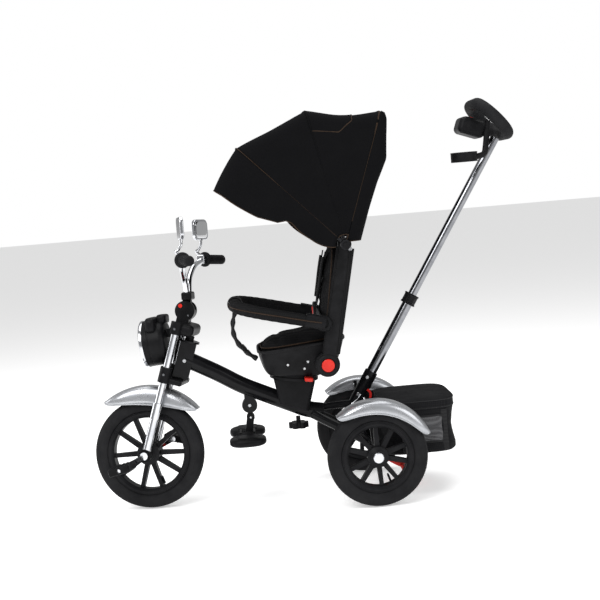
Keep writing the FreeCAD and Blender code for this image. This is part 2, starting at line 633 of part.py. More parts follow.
for side, way in rear_sides.items():
    top = mirror_spots[side]
    height = size("mirror_height")
    plate = Part.makeBox(size("mirror_thickness"), size("mirror_width"), height, Vector(
        -size("mirror_thickness") / 2, -size("mirror_width") / 2, 2))
    corners = [edge for edge in plate.Edges if abs(edge.Vertexes[0].X - edge.Vertexes[-1].X) > 1]
    plate = plate.makeFillet(16, corners)
    rims = [edge for edge in plate.Edges if abs(edge.CenterOfMass.x) > size("mirror_thickness") / 2 - 0.1]
    plate = plate.makeFillet(2.5, rims)
    socket = Part.makeCylinder(size("stem_radius") + 2, 6, Vector(0, 0, 0.4))
    mirror = feature(f"mirror_{side}", plate.fuse(socket).removeSplitter())
    steered(put(mirror, top, Rotation(z_axis, -size("mirror_toe_in") * way)))

button = part("Cylinder", Radius="sizes.button_radius", Height="sizes.button_length")
steered(put(keep(button, "handlebar_button"), button_place - Vector(0, 2, 0), across))

# ---- main frame ------------------------------------------------------------------------------

tube_start = upright.multVec(Vector(0, 0, head_middle + 4))
tube_low = Vector(size("swivel_x") + 31, 0, size("swivel_z") - 88)
tube_points = [tuple(tube_start), (tube_start.x + 88, 0, tube_start.z - 49),
               (tube_start.x + 145, 0, tube_start.z - 86), (tube_start.x + 248, 0, tube_start.z - 135),
               tuple(tube_low), (tube_low.x + 42, 0, tube_low.z - 8)]
main_sweep = swept("main_tube_sweep", tube_points, "sizes.main_tube_radius", exported=False)
head_void = Part.makeBox(size("head_tube_side"), size("head_tube_side"), 400,
                         Vector(-size("head_tube_side") / 2, -size("head_tube_side") / 2, head_middle - 200))
head_void.Placement = upright
plug = size("head_tube_side") + 2 * size("tube_plug")
head_wall = Part.makeBox(plug, plug, 400, Vector(-plug / 2, -plug / 2, head_middle - 200))
head_wall.Placement = upright
bore_sweep = swept("main_tube_bore_sweep", tube_points, "sizes.main_tube_bore", exported=False)
doc.recompute()
tube_shape = max(main_sweep.Shape.cut(head_void).Solids, key=lambda solid: solid.Volume)
foot_pivot = Vector(size("foot_pivot_x"), 0, size("foot_pivot_z"))
lug_disc = foot_pivot + Vector(0, 0, 33)
lug = Part.makeCylinder(21, 24, lug_disc - Vector(0, 12, 0), y_axis)
lug = lug.fuse(Part.makeBox(26, 24, 40, lug_disc + Vector(-13, -12, 4)))
lug_tongue = Part.makeCylinder(9, 11, foot_pivot - Vector(0, 5.5, 0), y_axis)
lug_tongue = lug_tongue.fuse(Part.makeBox(14, 11, 26, foot_pivot - Vector(7, 5.5, 0)))
lug = lug.fuse(lug_tongue).cut(Part.makeCylinder(4, 30, foot_pivot - Vector(0, 15, 0), y_axis))
tube_void = bore_sweep.Shape.cut(head_wall)
feature("main_tube", tube_shape.fuse(lug).cut(tube_void).removeSplitter())

slant = math.radians(size("socket_angle"))
push_way = Vector(math.sin(slant), 0, math.cos(slant))
socket_foot = rear_hub + Vector(-33, 0, 103)
stay = size("stay_radius")
axle_tube = Part.makeCylinder(size("axle_tube_radius"), 2 * size("axle_tube_reach"),
                              rear_hub - Vector(0, size("axle_tube_reach"), 0), y_axis)
tube_end = Vector(*tube_points[-1])
frame_solids = [axle_tube]
for way in (-1, 1):
    spread = way * size("stay_spread")
    frame_solids.append(rod((tube_end.x - 30, way * 16, tube_end.z - 2), (rear_hub.x, spread, rear_hub.z + 4),
                            stay))
    guard_inner = size("track") / 2 - size("rear_guard_width") / 2
    post_reach = way * (guard_inner - 5)
    post_top = rear_hub + Vector(-12, post_reach, rear_guard_radius - 6)
    frame_solids.append(rod(tuple(rear_hub + Vector(-2, post_reach, 0)), tuple(post_top), 5))
    frame_solids.append(rod((rear_hub.x + 10, way * 50, rear_hub.z),
                            (size("bag_front"), way * 50, rear_hub.z), 6))
frame_solids.append(rod((tube_end.x - 20, 0, tube_end.z + 10), tuple(socket_foot + Vector(6, 0, 4)), 10))
frame_solids.append(rod(tuple(rear_hub + Vector(-4, 0, 4)), tuple(socket_foot), 14))
socket = Part.makeCylinder(size("socket_radius"), size("socket_length"), socket_foot, push_way)
frame_solids.append(socket)
pedal_pivot = rear_hub + Vector(20, 0, -24)
for way in (-1, 1):
    frame_solids.append(Part.makeBox(26, 5, 30, pedal_pivot + Vector(-18, way * 15 - 2.5, -8)))
pedal_bore = Part.makeCylinder(4, 60, pedal_pivot - Vector(0, 30, 0), y_axis)
push_start = socket_foot + push_way * 12
push_bore = Part.makeCylinder(size("push_tube_radius"), 300, push_start, push_way)
axle_bore = Part.makeCylinder(size("axle_radius"), 600, rear_hub - Vector(0, 300, 0), y_axis)
frame_shape = frame_solids[0].fuse(frame_solids[1:])
frame_shape = frame_shape.cut([main_sweep.Shape, push_bore, axle_bore, pedal_bore])
frame_shape = max(frame_shape.removeSplitter().Solids, key=lambda solid: solid.Volume)
feature("rear_frame", frame_shape)

# brake pedal under the axle
brake_arm = route([tuple(pedal_pivot), tuple(pedal_pivot + Vector(22, 0, -26)),
                   tuple(pedal_pivot + Vector(48, 0, -44)),
                   tuple(pedal_pivot + Vector(size("brake_length"), 0, -64))])
ring = Part.Wire(Part.Circle(pedal_pivot, Vector(22, 0, -26), 7).toShape())
brake = brake_arm.makePipeShell([ring], True, False)
brake_boss = Part.makeCylinder(10, 24, pedal_pivot - Vector(0, 12, 0), y_axis)
brake_pin = Part.makeCylinder(3.6, 34, pedal_pivot - Vector(0, 17, 0), y_axis)
brake_pad = rounded_box(40, 62, 14, 5)
brake_pad.Placement = Placement(pedal_pivot + Vector(size("brake_length") - 6, 0, -61), Rotation(y_axis, 20))
feature("brake_pedal", brake.fuse([brake_boss, brake_pin, brake_pad]).removeSplitter())

# ---- footrest --------------------------------------------------------------------------------

post_width = size("foot_post_width")
plate_top = size("foot_plate_z") + size("foot_plate_thickness") / 2
post_low = size("foot_plate_z") - 8
plate_x = foot_pivot.x - 12
cheeks = Part.makeCylinder(post_width / 2 + 1, 24, foot_pivot - Vector(0, 12, 0), y_axis)
arm_post = prism([(foot_pivot.x - post_width / 2, foot_pivot.z),
                  (foot_pivot.x + post_width / 2, foot_pivot.z),
                  (plate_x + post_width / 2, post_low), (plate_x - post_width / 2, post_low)], 24)
arm_slot = Part.makeBox(60, 12, 60, foot_pivot - Vector(30, 6, 13))
hinge_side = 22
ears = []
ear_reach = 16
for way in (-1, 1):
    ears.append(rod((plate_x - ear_reach - 5, way * hinge_side, plate_top),
                    (plate_x + ear_reach + 5, way * hinge_side, plate_top), 2.6))
    for end in (-1, 1):
        ears.append(Part.makeBox(5, hinge_side + 5, 12, Vector(
            plate_x + end * (ear_reach + 2.5) - 2.5, min(0, way * (hinge_side + 5)), plate_top - 7)))
ears.append(Part.makeBox(2 * ear_reach + 10, 20, 14, Vector(plate_x - ear_reach - 5, -10, plate_top - 14)))
foot_pin = Part.makeCylinder(3.6, 22, foot_pivot - Vector(0, 11, 0), y_axis)
foot_arm = cheeks.fuse(arm_post).cut(arm_slot).fuse(ears + [foot_pin]).removeSplitter()
feature("footrest_arm", foot_arm)
for side, way in rear_sides.items():
    barrel = rod((plate_x - ear_reach + 0.5, way * hinge_side, plate_top),
                 (plate_x + ear_reach - 0.5, way * hinge_side, plate_top), 6)
    start = hinge_side + 6
    middle = way * (start + size("foot_plate_width") / 2)
    plate = rounded_box(size("foot_plate_length"), size("foot_plate_width"), size("foot_plate_thickness"), 8,
                        (plate_x, middle, size("foot_plate_z")))
    link = Part.makeBox(2 * ear_reach - 1, 18, 6, Vector(plate_x - ear_reach + 0.5, way * (
        hinge_side + 9) - 9, plate_top - 6))
    bore = rod((plate_x - 60, way * hinge_side, plate_top), (plate_x + 60, way * hinge_side, plate_top), 3)
    feature(f"foot_plate_{side}", barrel.fuse([plate, link]).cut(bore).removeSplitter())

# ---- push bar --------------------------------------------------------------------------------

lower_end = push_start + push_way * (size("lower_push_length") + 84)
lower_push = Part.makeCylinder(size("push_tube_radius"), (lower_end - push_start).Length, push_start,
                               push_way)
slide_bore = size("push_inner_radius") + size("slide_clearance")
lower_push = lower_push.cut(Part.makeCylinder(slide_bore, 400, push_start + push_way * 6, push_way))
feature("lower_push_tube", lower_push)
collar_low = lower_end - push_way * (size("collar_clamp_height") - 8)
clamp = Part.makeCylinder(size("collar_clamp_radius"), size("collar_clamp_height"), collar_low, push_way)
lever = rounded_box(16, 34, 22, 4)
lever.Placement = Placement(collar_low + push_way * 15 + Vector(0, -24, 0),
                            Rotation(y_axis, size("socket_angle")))
clamp = clamp.fuse(lever).cut([
    Part.makeCylinder(size("push_tube_radius"), 400, lower_end - push_way * 400, push_way),
    Part.makeCylinder(slide_bore, 400, collar_low, push_way)])
feature("push_tube_clamp", max(clamp.removeSplitter().Solids, key=lambda solid: solid.Volume))
upper_start = lower_end - push_way * size("upper_push_hidden")
upper_end = upper_start + push_way * size("upper_push_length")

# handle ring: two straight grips and two round ends
handle_turn = Rotation(y_axis, size("handle_angle"))
handle_round = size("handle_length") / 2 - size("handle_tube")
handle_straight = size("handle_width") / 2 - size("handle_tube") - handle_round
ring_parts = []
for way in (-1, 1):
    ring_parts.append(rod((way * handle_round, -handle_straight, 0), (way * handle_round, handle_straight, 0),
                          size("handle_tube")))
    bend = Part.makeTorus(handle_round, size("handle_tube"), Vector(), z_axis, -180, 180, 180)
    bend.rotate(Vector(), z_axis, 0 if way > 0 else 180)
    bend.translate(Vector(0, way * handle_straight, 0))
    ring_parts.append(bend)
handle_ring = ring_parts[0].fuse(ring_parts[1:])
handle_centre = upper_end + Vector(-14, 0, 50)
handle_place = Placement(handle_centre, handle_turn)
handle_ring.Placement = handle_place
upper_push = Part.makeCylinder(size("push_inner_radius"), size("upper_push_length"), upper_start, push_way)
push_hollow = Part.makeCylinder(size("push_inner_radius") - size("push_wall"), size("upper_push_length") - 90,
                                upper_start, push_way)
upper_push = upper_push.cut([handle_ring, push_hollow])
feature("upper_push_tube", max(upper_push.Solids, key=lambda solid: solid.Volume))
bridge = rounded_box(2 * handle_round + 4, 52, 30, 10)
bridge.Placement = handle_place
console = rounded_box(size("console_length"), size("console_width"), size("console_height"), 14)
console.Placement = Placement(handle_centre + Vector(-52, 0, -18), Rotation(y_axis, 20))
tube_hole = Part.makeCylinder(size("push_inner_radius"), 1000, upper_end - push_way * 1000, push_way)
console = console.fuse(bridge).cut([handle_ring, tube_hole])
console = max(console.removeSplitter().Solids, key=lambda solid: solid.Volume)
feature("push_handle", handle_ring.removeSplitter())
feature("push_console", console)

cup_outer = size("cup_radius") + size("cup_wall")
cup_place = handle_centre + Vector(-size("cup_ahead"), -size("cup_side"), -109)
cup = Part.makeCylinder(cup_outer, size("cup_height"), cup_place)
cup_bore = Part.makeCylinder(size("cup_radius"), 400, cup_place - Vector(0, 0, 100))
arm_start = cup_place + Vector(cup_outer - 3, 0, size("cup_height") / 2)
arm_points = [arm_start, arm_start + Vector(24, 4, 4), arm_start + Vector(34, 26, 34),
              handle_centre + Vector(-8, -24, -6)]
ring = Part.Wire(Part.Circle(arm_start, arm_points[1] - arm_start, size("cup_arm_radius")).toShape())
cup_arm = route([tuple(p) for p in arm_points]).makePipeShell([ring], True, False)
cup = cup.fuse(cup_arm).cut([cup_bore, console, handle_ring, tube_hole])
feature("cup_holder", max(cup.removeSplitter().Solids, key=lambda solid: solid.Volume))

# ---- bag -------------------------------------------------------------------------------------

def bag_wire(inset, height):
    front = size("bag_front") + inset
    rear = size("bag_front") + size("bag_length") - inset
    middle = (front + rear) / 2
    widths = [size(name) / 2 - inset for name in ("bag_front_width", "bag_mid_width", "bag_rear_width")]
    half = [Vector(x, -width, height) for x, width in zip((front, middle, rear), widths)]
    other = [Vector(point.x, -point.y, height) for point in reversed(half)]
    sides = [Part.Arc(*half).toShape(), Part.makeLine(half[2], other[0]), Part.Arc(*other).toShape(),
             Part.makeLine(other[2], half[0])]
    return Part.Wire(sides)


def bag_block(inset, low, high):
    return Part.Face(bag_wire(inset, low)).extrude(Vector(0, 0, high - low))


bag = bag_block(0, size("bag_bottom"), size("bag_top"))
wall = size("bag_wall")
feature("bag_body", bag.cut(bag_block(wall, size("bag_bottom") + wall, size("bag_top"))))
lid_low = size("bag_top") + size("lid_gap")
lid = bag_block(0, lid_low, lid_low + size("lid_height"))
feature("bag_lid", lid.makeFillet(9, [edge for edge in lid.Edges if edge.CenterOfMass.z > lid_low + 20]))

# ---- seat post and swivel --------------------------------------------------------------------

tilt = size("swivel_tilt")
swivel_point = Vector(size("swivel_x"), 0, size("swivel_z"))
swivel = Placement(swivel_point, Rotation(y_axis, tilt))
post_low_z = tube_low.z + 14


def rectangle(length, width, centre, rotation=Rotation()):
    corners = [Vector(-length / 2, -width / 2, 0), Vector(length / 2, -width / 2, 0),
               Vector(length / 2, width / 2, 0), Vector(-length / 2, width / 2, 0)]
    wire = Part.makePolygon(corners + corners[:1])
    wire.Placement = Placement(centre, rotation)
    return wire


post_base = Vector(swivel_point.x - 6, 0, post_low_z)
post = Part.makeLoft([
    rectangle(size("post_bottom_length"), size("post_width") * 0.8, post_base, Rotation(y_axis, 20)),
    rectangle(size("post_top_length"), size("post_width"), swivel_point, Rotation(y_axis, tilt))], True, True)
upright_edges = [edge for edge in post.Edges if abs(edge.Vertexes[0].Z - edge.Vertexes[-1].Z) > 30]
post = post.makeFillet(10, upright_edges)
post = max(post.cut(main_sweep.Shape).Solids, key=lambda solid: solid.Volume)
feature("seat_post", post)

knob_radius = size("knob_radius")
knob_x = swivel_point.x + 3
line = Part.makeLine(Vector(knob_x, 0, 0), Vector(knob_x, 0, 600))
tube_skin = min(vertex.Z for vertex in main_sweep.Shape.common(line).Vertexes)
knob_top = tube_skin - size("knob_drop")
lobes = [Part.makeCylinder(knob_radius * 0.3, size("knob_height"), Vector(
    knob_x + knob_radius * 0.7 * math.cos(math.radians(60 * i)),
    knob_radius * 0.7 * math.sin(math.radians(60 * i)), knob_top - size("knob_height"))) for i in range(6)]
knob = Part.makeCylinder(knob_radius * 0.75, size("knob_height"),
                         Vector(knob_x, 0, knob_top - size("knob_height")))
knob_stem = Part.makeCylinder(6, size("knob_drop") - 4, Vector(knob_x, 0, knob_top))
feature("seat_knob", knob.fuse(lobes + [knob_stem]).removeSplitter())

rotor_radius = size("rotor_radius")
rotor_height = size("rotor_height")
rotor = Part.makeCylinder(rotor_radius, rotor_height - size("rotor_gap"), Vector(0, 0, size("rotor_gap")))
rotor.Placement = swivel
lever_body = rounded_box(22, 40, 10, 3, (36, -size("rotor_radius") - 18, 11.5))
lever_body.Placement = swivel * lever_body.Placement
feature("swivel_lever", lever_body)

# ---- seat shell and cushion ------------------------------------------------------------------

shell_foot = swivel.multVec(Vector(0, 0, size("rotor_height")))
shell_top = Vector(shell_foot.x + 22, 0, size("shell_base") + 74)
shell_rise = Rotation(y_axis, -5)


def bucket(inset, lift, top_lift=0.0):
    """The bowl of the seat, pulled in on every side by the inset."""
    low = rectangle(184 - 2 * inset, 170 - 2 * inset, swivel.multVec(Vector(6, 0, rotor_height + lift)),
                    Rotation(y_axis, tilt))
    high = rectangle(size("shell_length") - 2 * inset, size("shell_width") - 2 * inset,
                     shell_top + Vector(0, 0, top_lift), shell_rise)
    block = Part.makeLoft([low, high], True, True)
    corners = [edge for edge in block.Edges if abs(edge.Vertexes[0].Z - edge.Vertexes[-1].Z) > 30]
    return block.makeFillet(38 - inset, corners)


shell_wall = size("shell_wall")
shell = bucket(0, 0).cut(bucket(shell_wall, shell_wall, 1))
hinge_point = Vector(size("hinge_x"), 0, size("hinge_z"))
hinge_reach = size("hinge_reach")
inner_void = bucket(shell_wall, shell_wall, 1)
for way in (-1, 1):
    pod = Part.makeCylinder(size("hinge_radius"), 46, hinge_point + Vector(0, way * hinge_reach, 0),
                            y_axis * -way)
    shell = shell.fuse(pod.cut(inner_void))
arm_thickness = size("arm_thickness")
arm_inner_y = hinge_reach + 0.5
pivot_pins = [Part.makeCylinder(6, arm_thickness - 8, hinge_point + Vector(0, way * hinge_reach, 0),
                                y_axis * way) for way in (-1, 1)]
shell = shell.fuse(pivot_pins + [rotor]).removeSplitter()
feature("seat_shell", max(shell.Solids, key=lambda solid: solid.Volume))
gap = size("cushion_gap")
shell_margin = 2 * (shell_wall + gap) + 28
cushion_top = rectangle(size("shell_length") - 84, size("shell_width") - 46,
                        shell_top + Vector(-20, 0, 22), shell_rise)
cushion_mid = rectangle(size("shell_length") - shell_margin, size("shell_width") - shell_margin,
                        shell_top + Vector(-1, 0, -8), shell_rise)
cushion_low = rectangle(158, 144, shell_foot + Vector(6, 0, shell_wall + 16), Rotation(y_axis, tilt))
cushion = Part.makeLoft([cushion_low, cushion_mid, cushion_top], True, True)
feature("seat_cushion", cushion)

# ---- backrest --------------------------------------------------------------------------------

canopy_hinge = Vector(size("canopy_hinge_x"), 0, size("canopy_hinge_z"))
arm_way = (canopy_hinge - hinge_point).normalize()
arm_side = Vector(arm_way.z, 0, -arm_way.x)
half_depth = size("arm_depth") / 2
bar_pivot = Vector(size("bar_pivot_x"), 0, size("bar_pivot_z"))
arm_outline = [hinge_point - arm_side * half_depth, hinge_point + arm_side * half_depth,
               canopy_hinge + arm_side * half_depth * 0.7, canopy_hinge - arm_side * half_depth * 0.7]
arm_outer_y = arm_inner_y + arm_thickness
frame_parts = []
hinge_bores = []
for way in (-1, 1):
    middle = way * (arm_inner_y + arm_thickness / 2)
    frame_parts.append(prism([(p.x, p.z) for p in arm_outline], arm_thickness, middle))
    for centre, radius in ((hinge_point, size("hinge_radius") - 4), (bar_pivot, size("bar_joint_radius") - 1),
                           (canopy_hinge, size("hinge_disc_radius"))):
        start = centre + Vector(0, middle - arm_thickness / 2, 0)
        frame_parts.append(Part.makeCylinder(radius, arm_thickness, start, y_axis))
    hinge_bores.append(Part.makeCylinder(6.4, 400, hinge_point + Vector(0, -200, 0), y_axis))
for share in (0.3, 0.62, 0.94):
    place = hinge_point + arm_way * (canopy_hinge - hinge_point).Length * share + arm_side * 8
    place -= Vector(0, arm_inner_y + 2, 0)
    frame_parts.append(Part.makeCylinder(8, 2 * arm_inner_y + 4, place, y_axis))
frame_shape = frame_parts[0].fuse(frame_parts[1:]).cut(hinge_bores[:1])
button_recess = [Part.makeCylinder(size("recline_button_radius") + 0.4, 7, hinge_point + Vector(
    0, way * (arm_outer_y - 7), 0), y_axis * way) for way in (-1, 1)]
frame_shape = frame_shape.cut(button_recess)
# the canopy's hinge axle and the fixed rear bow belong to the backrest frame
stub_end = size("canopy_half") + 12
bow = size("bow_radius")
rear_y = size("canopy_half") - size("canopy_step") - 4.5
mid_y = size("canopy_half") - 5
front_y = mid_y + size("canopy_step") - 0.5
front_reach = size("front_bow_reach") + 3.5
mid_reach = front_reach - size("canopy_step") + 0.5
rear_reach = mid_reach - size("canopy_step") + 0.5
eye_radius = 13
stub_radius = 7


def bow_shape(reach, half, angle):
    """A hoop from one side of the hinge over to the other, with an eye at each end."""
    way_out = Vector(math.cos(math.radians(angle)), 0, math.sin(math.radians(angle)))
    corners = []
    shoulder = size("bow_shoulder")
    for side_y, out in ((-half, eye_radius - 2), (-half, reach - shoulder), (shoulder - half, reach),
                        (half - shoulder, reach), (half, reach - shoulder), (half, eye_radius - 2)):
        point = canopy_hinge + way_out * out
        corners.append((point.x, side_y, point.z))
    first = Vector(*corners[0])
    circle = Part.Wire(Part.Circle(first, way_out, bow).toShape())
    hoop = route(corners).makePipeShell([circle], True, False)
    eyes = [Part.makeCylinder(eye_radius, 2 * bow, canopy_hinge + Vector(0, way * half - bow, 0), y_axis)
            for way in (-1, 1)]
    return hoop.fuse(eyes)


def panel(start, end, reach, half, inner, drop=None):
    """Cloth between two bows: a roof and two side walls, open below."""
    skin = size("cloth")

    def sector(outer, width):
        edge = [arc_point(canopy_hinge, outer, start), arc_point(canopy_hinge, outer, (start + end) / 2),
                arc_point(canopy_hinge, outer, end)]
        low = [arc_point(canopy_hinge, inner[1], end), arc_point(canopy_hinge, inner[0], start)]
        wire = Part.Wire([Part.Arc(*edge).toShape(), Part.makeLine(edge[2], low[0]),
                          Part.makeLine(low[0], low[1]), Part.makeLine(low[1], edge[0])])
        face = Part.Face(wire)
        face.translate(Vector(0, -width, 0))
        return face.extrude(Vector(0, 2 * width, 0))

    block = sector(reach, half)
    roof = [edge for edge in block.Edges if abs(abs(edge.CenterOfMass.y) - half) < 0.1
            and (edge.CenterOfMass - canopy_hinge).Length > reach * 0.95
            and edge.Curve.TypeId == "Part::GeomCircle"]
    block = block.makeFillet(30, roof)
    hollow = sector(reach - skin, half - skin)
    roof = [edge for edge in hollow.Edges if abs(abs(edge.CenterOfMass.y) - half + skin) < 0.1
            and (edge.CenterOfMass - canopy_hinge).Length > (reach - skin) * 0.95
            and edge.Curve.TypeId == "Part::GeomCircle"]
    return block.cut(hollow.makeFillet(28, roof))


frame_shape = frame_shape.fuse([Part.makeCylinder(stub_radius, stub_end - arm_inner_y, canopy_hinge + Vector(
    0, way * arm_inner_y, 0), y_axis * way) for way in (-1, 1)])
eye_bores = Part.makeCompound([Part.makeCylinder(
    stub_radius + size("spin_clearance"), 60, canopy_hinge + Vector(0, way * (arm_outer_y + 1), 0),
    y_axis * way) for way in (-1, 1)])
rear_bow = bow_shape(rear_reach, rear_y, size("rear_bow_angle"))
feature("backrest_frame", frame_shape.fuse(rear_bow).removeSplitter())
feature("mid_bow", bow_shape(mid_reach, mid_y, size("mid_bow_angle")).cut(eye_bores))
feature("front_bow", bow_shape(front_reach, front_y, size("front_bow_angle")).cut(eye_bores))

skin = size("cloth")
cover = bow + skin + 0.5
rear_cover = rear_reach + cover
inner_reach = size("panel_inner")
rear_panel = panel(size("mid_bow_angle") - 1, size("rear_bow_angle"), rear_cover, rear_y + cover,
                   (inner_reach, inner_reach))
rear_top = arc_point(canopy_hinge, rear_cover, size("rear_bow_angle"))
rear_line = [rear_top, Vector(rear_top.x, 0, rear_top.z - 117), canopy_hinge + Vector(43, 0, 6)]
side_points = [arc_point(canopy_hinge, inner_reach, size("rear_bow_angle"))] + rear_line
curtain = []
for way in (-1, 1):
    curtain.append(prism([(p.x, p.z) for p in side_points], skin, way * (rear_y + cover - skin / 2)))
inward = [(p.x - 3, p.z - 1) for p in reversed(rear_line)]
curtain.append(prism([(p.x, p.z) for p in rear_line] + inward, 2 * (rear_y + cover)))
bow_space = bow_shape(rear_reach, rear_y, size("rear_bow_angle"))
canopy_rear = rear_panel.fuse(curtain).cut(bow_space).removeSplitter()
feature("canopy_rear", max(canopy_rear.Solids, key=lambda solid: solid.Volume))
mid_space = bow_shape(mid_reach, mid_y, size("mid_bow_angle"))
front_panel = panel(size("front_bow_angle") - 1, size("mid_bow_angle"), mid_reach + cover, mid_y + cover,
                    (inner_reach, inner_reach))
feature("canopy_front", front_panel.cut(mid_space))
visor = panel(size("front_bow_angle") + size("visor_angle"), size("front_bow_angle"), front_reach + cover,
              front_y + cover, (size("visor_inner") - 30, size("visor_inner")))
front_space = bow_shape(front_reach, front_y, size("front_bow_angle"))
feature("canopy_visor", visor.cut(front_space))

# ---- backrest cushion, harness and buttons ---------------------------------------------------

thickness = size("backrest_thickness")
back_base = hinge_point + Vector(-2, 0, 86)
back_top = canopy_hinge + Vector(-34, 0, -10)
back_outline = [back_base, back_base + Vector(34, 0, -4), back_top + Vector(thickness * 0.72, 0, 0),
                back_top + Vector(0, 0, 6)]
bars = Part.makeCompound([Part.makeCylinder(8.5, 2 * arm_inner_y, hinge_point + arm_way * (
    canopy_hinge - hinge_point).Length * share + arm_side * 8 - Vector(0, arm_inner_y, 0), y_axis)
    for share in (0.3, 0.62, 0.94)])
back_cushion = prism([(p.x, p.z) for p in back_outline], size("backrest_width"))
back_cushion = back_cushion.makeFillet(12, back_cushion.Edges)
feature("backrest_cushion", back_cushion.cut(bars))
face_way = (back_outline[3] - back_outline[0]).normalize()
face_out = Vector(-face_way.z, 0, face_way.x)
strap = size("strap_thickness") / 2
harness = []
for way in (-1, 1):
    low = back_outline[0] + face_way * 40 + face_out * 1
    high = back_outline[3] - face_way * 30 + face_out * 1
    web = [low, high, high + face_out * strap, low + face_out * strap]
    harness.append(prism([(p.x, p.z) for p in web], 30, way * 50))
buckle = rounded_box(16, 134, 34, 4, back_outline[0] + face_way * 58 + face_out * 13)
harness_shape = harness[0].fuse([harness[1], buckle]).cut(back_cushion).removeSplitter()
feature("harness", harness_shape)

for side, way in rear_sides.items():
    start = arm_outer_y - 2.8
    knob_shape = Part.makeCylinder(size("recline_button_radius"), 8, hinge_point + Vector(0, way * start, 0),
                                   y_axis * way)
    outer_edge = [edge for edge in knob_shape.Edges if abs(edge.CenterOfMass.y) > start + 7]
    feature(f"recline_button_{side}", knob_shape.makeFillet(2.5, outer_edge[:1]))

# ---- safety bar and crotch strap -------------------------------------------------------------

bar_side = arm_outer_y + 9.5
rise = math.radians(size("safety_bar_rise"))
bar_front = bar_pivot + Vector(-math.cos(rise), 0, math.sin(rise)) * size("safety_bar_reach")
bar_mid = bar_pivot + Vector(-math.cos(rise), 0, math.sin(rise)) * size("safety_bar_reach") * 0.62
half = size("safety_bar_half")
loop = [(bar_pivot.x - 8, -bar_side, bar_pivot.z + 2), (bar_mid.x, -bar_side, bar_mid.z),
        (bar_front.x, -half * 0.72, bar_front.z), (bar_front.x, half * 0.72, bar_front.z),
        (bar_mid.x, bar_side, bar_mid.z), (bar_pivot.x - 8, bar_side, bar_pivot.z + 2)]
loop_start = Vector(*loop[0])
ring = Part.Wire(Part.Circle(loop_start, Vector(*loop[1]) - loop_start, size("safety_bar_radius")).toShape())
safety = route(loop).makePipeShell([ring], True, False)
discs = [Part.makeCylinder(size("bar_joint_radius"), 16, bar_pivot + Vector(0, way * (arm_outer_y + 0.6), 0),
                           y_axis * way) for way in (-1, 1)]
arm_slab = Part.makeBox(400, 2 * (arm_outer_y + 0.6), 400, Vector(bar_pivot.x - 60, -arm_outer_y - 0.6, 300))
feature("safety_bar", safety.fuse(discs).cut(arm_slab).removeSplitter())

seat_front = Vector(shell_top.x - size("shell_length") / 2 - 2, 0, shell_top.z - 38)
strap_line = [bar_front + Vector(-4, 0, -size("safety_bar_radius") - 2), bar_front + Vector(16, 0, -84),
              bar_front + Vector(38, 0, -126), seat_front]
strap_wide = size("strap_thickness")
strap_back = [point + Vector(-strap_wide * 0.9, 0, -strap_wide * 0.5) for point in reversed(strap_line)]
feature("crotch_strap", prism([(p.x, p.z) for p in strap_line + strap_back], size("strap_width")))

# ---- check and export ------------------------------------------------------------------------

doc.recompute()
for item in doc.Objects:
    if "Invalid" in item.State or "Error" in item.State:
        raise RuntimeError(f"{item.Label} did not compute")
for piece in pieces:
    if piece.Shape.isNull() or not piece.Shape.isValid():
        raise RuntimeError(f"{piece.Label} has no valid shape")
os.makedirs("parts", exist_ok=True)
for piece in pieces:
    piece.Shape.exportStep(f"parts/{piece.Label}.step")
print(len(pieces), "sub-parts")
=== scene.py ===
import math
import bmesh
import bpy
from mathutils import Matrix, Vector, noise


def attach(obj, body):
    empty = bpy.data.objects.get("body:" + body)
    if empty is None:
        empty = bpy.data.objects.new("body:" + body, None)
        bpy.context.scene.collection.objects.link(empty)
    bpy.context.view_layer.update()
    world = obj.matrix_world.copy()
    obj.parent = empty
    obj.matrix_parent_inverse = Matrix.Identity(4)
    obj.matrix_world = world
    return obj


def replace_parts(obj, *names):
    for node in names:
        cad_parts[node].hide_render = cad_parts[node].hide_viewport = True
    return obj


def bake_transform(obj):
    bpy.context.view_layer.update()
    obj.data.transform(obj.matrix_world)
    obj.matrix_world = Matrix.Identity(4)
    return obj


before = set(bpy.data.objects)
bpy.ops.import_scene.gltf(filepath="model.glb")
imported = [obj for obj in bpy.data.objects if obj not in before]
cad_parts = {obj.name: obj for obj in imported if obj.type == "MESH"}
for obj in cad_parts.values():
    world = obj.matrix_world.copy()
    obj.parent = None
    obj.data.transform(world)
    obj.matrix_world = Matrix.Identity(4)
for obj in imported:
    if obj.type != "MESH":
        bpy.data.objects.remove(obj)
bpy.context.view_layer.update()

# metres throughout; +Z up, the tricycle faces -X, its left side is -Y
sideWays = {"left": -1, "right": 1}
steerTurn = Matrix(((0.98634, 0.16467, 0.00457, -0.0063175),
                    (-0.16467, 0.98481, 0.0551, -0.0761441),
                    (0.00457, -0.0551, 0.99847, 0.0021138),
                    (0, 0, 0, 1)))
frontHub = Vector((-0.447, 0, 0.15))
rearHub = Vector((0.153, 0, 0.13))
seatHinge = Vector((0.049, 0, 0.366))
barPivot = Vector((0.046, 0, 0.478))
canopyHinge = Vector((0.117, 0, 0.678))
rearWheelHubs = {side: rearHub + Vector((0, way * 0.22, 0)) for side, way in sideWays.items()}


# shader node groups that several finishes share

def newGroup(title, inputs, outputs):
    group = bpy.data.node_groups.new(title, "ShaderNodeTree")
    for name, kind, value in inputs:
        socket = group.interface.new_socket(name=name, in_out="INPUT", socket_type=kind)
        if value is not None:
            socket.default_value = value
    for name in outputs:
        group.interface.new_socket(name=name, in_out="OUTPUT", socket_type="NodeSocketFloat")
    return group, group.nodes.new("NodeGroupInput"), group.nodes.new("NodeGroupOutput")


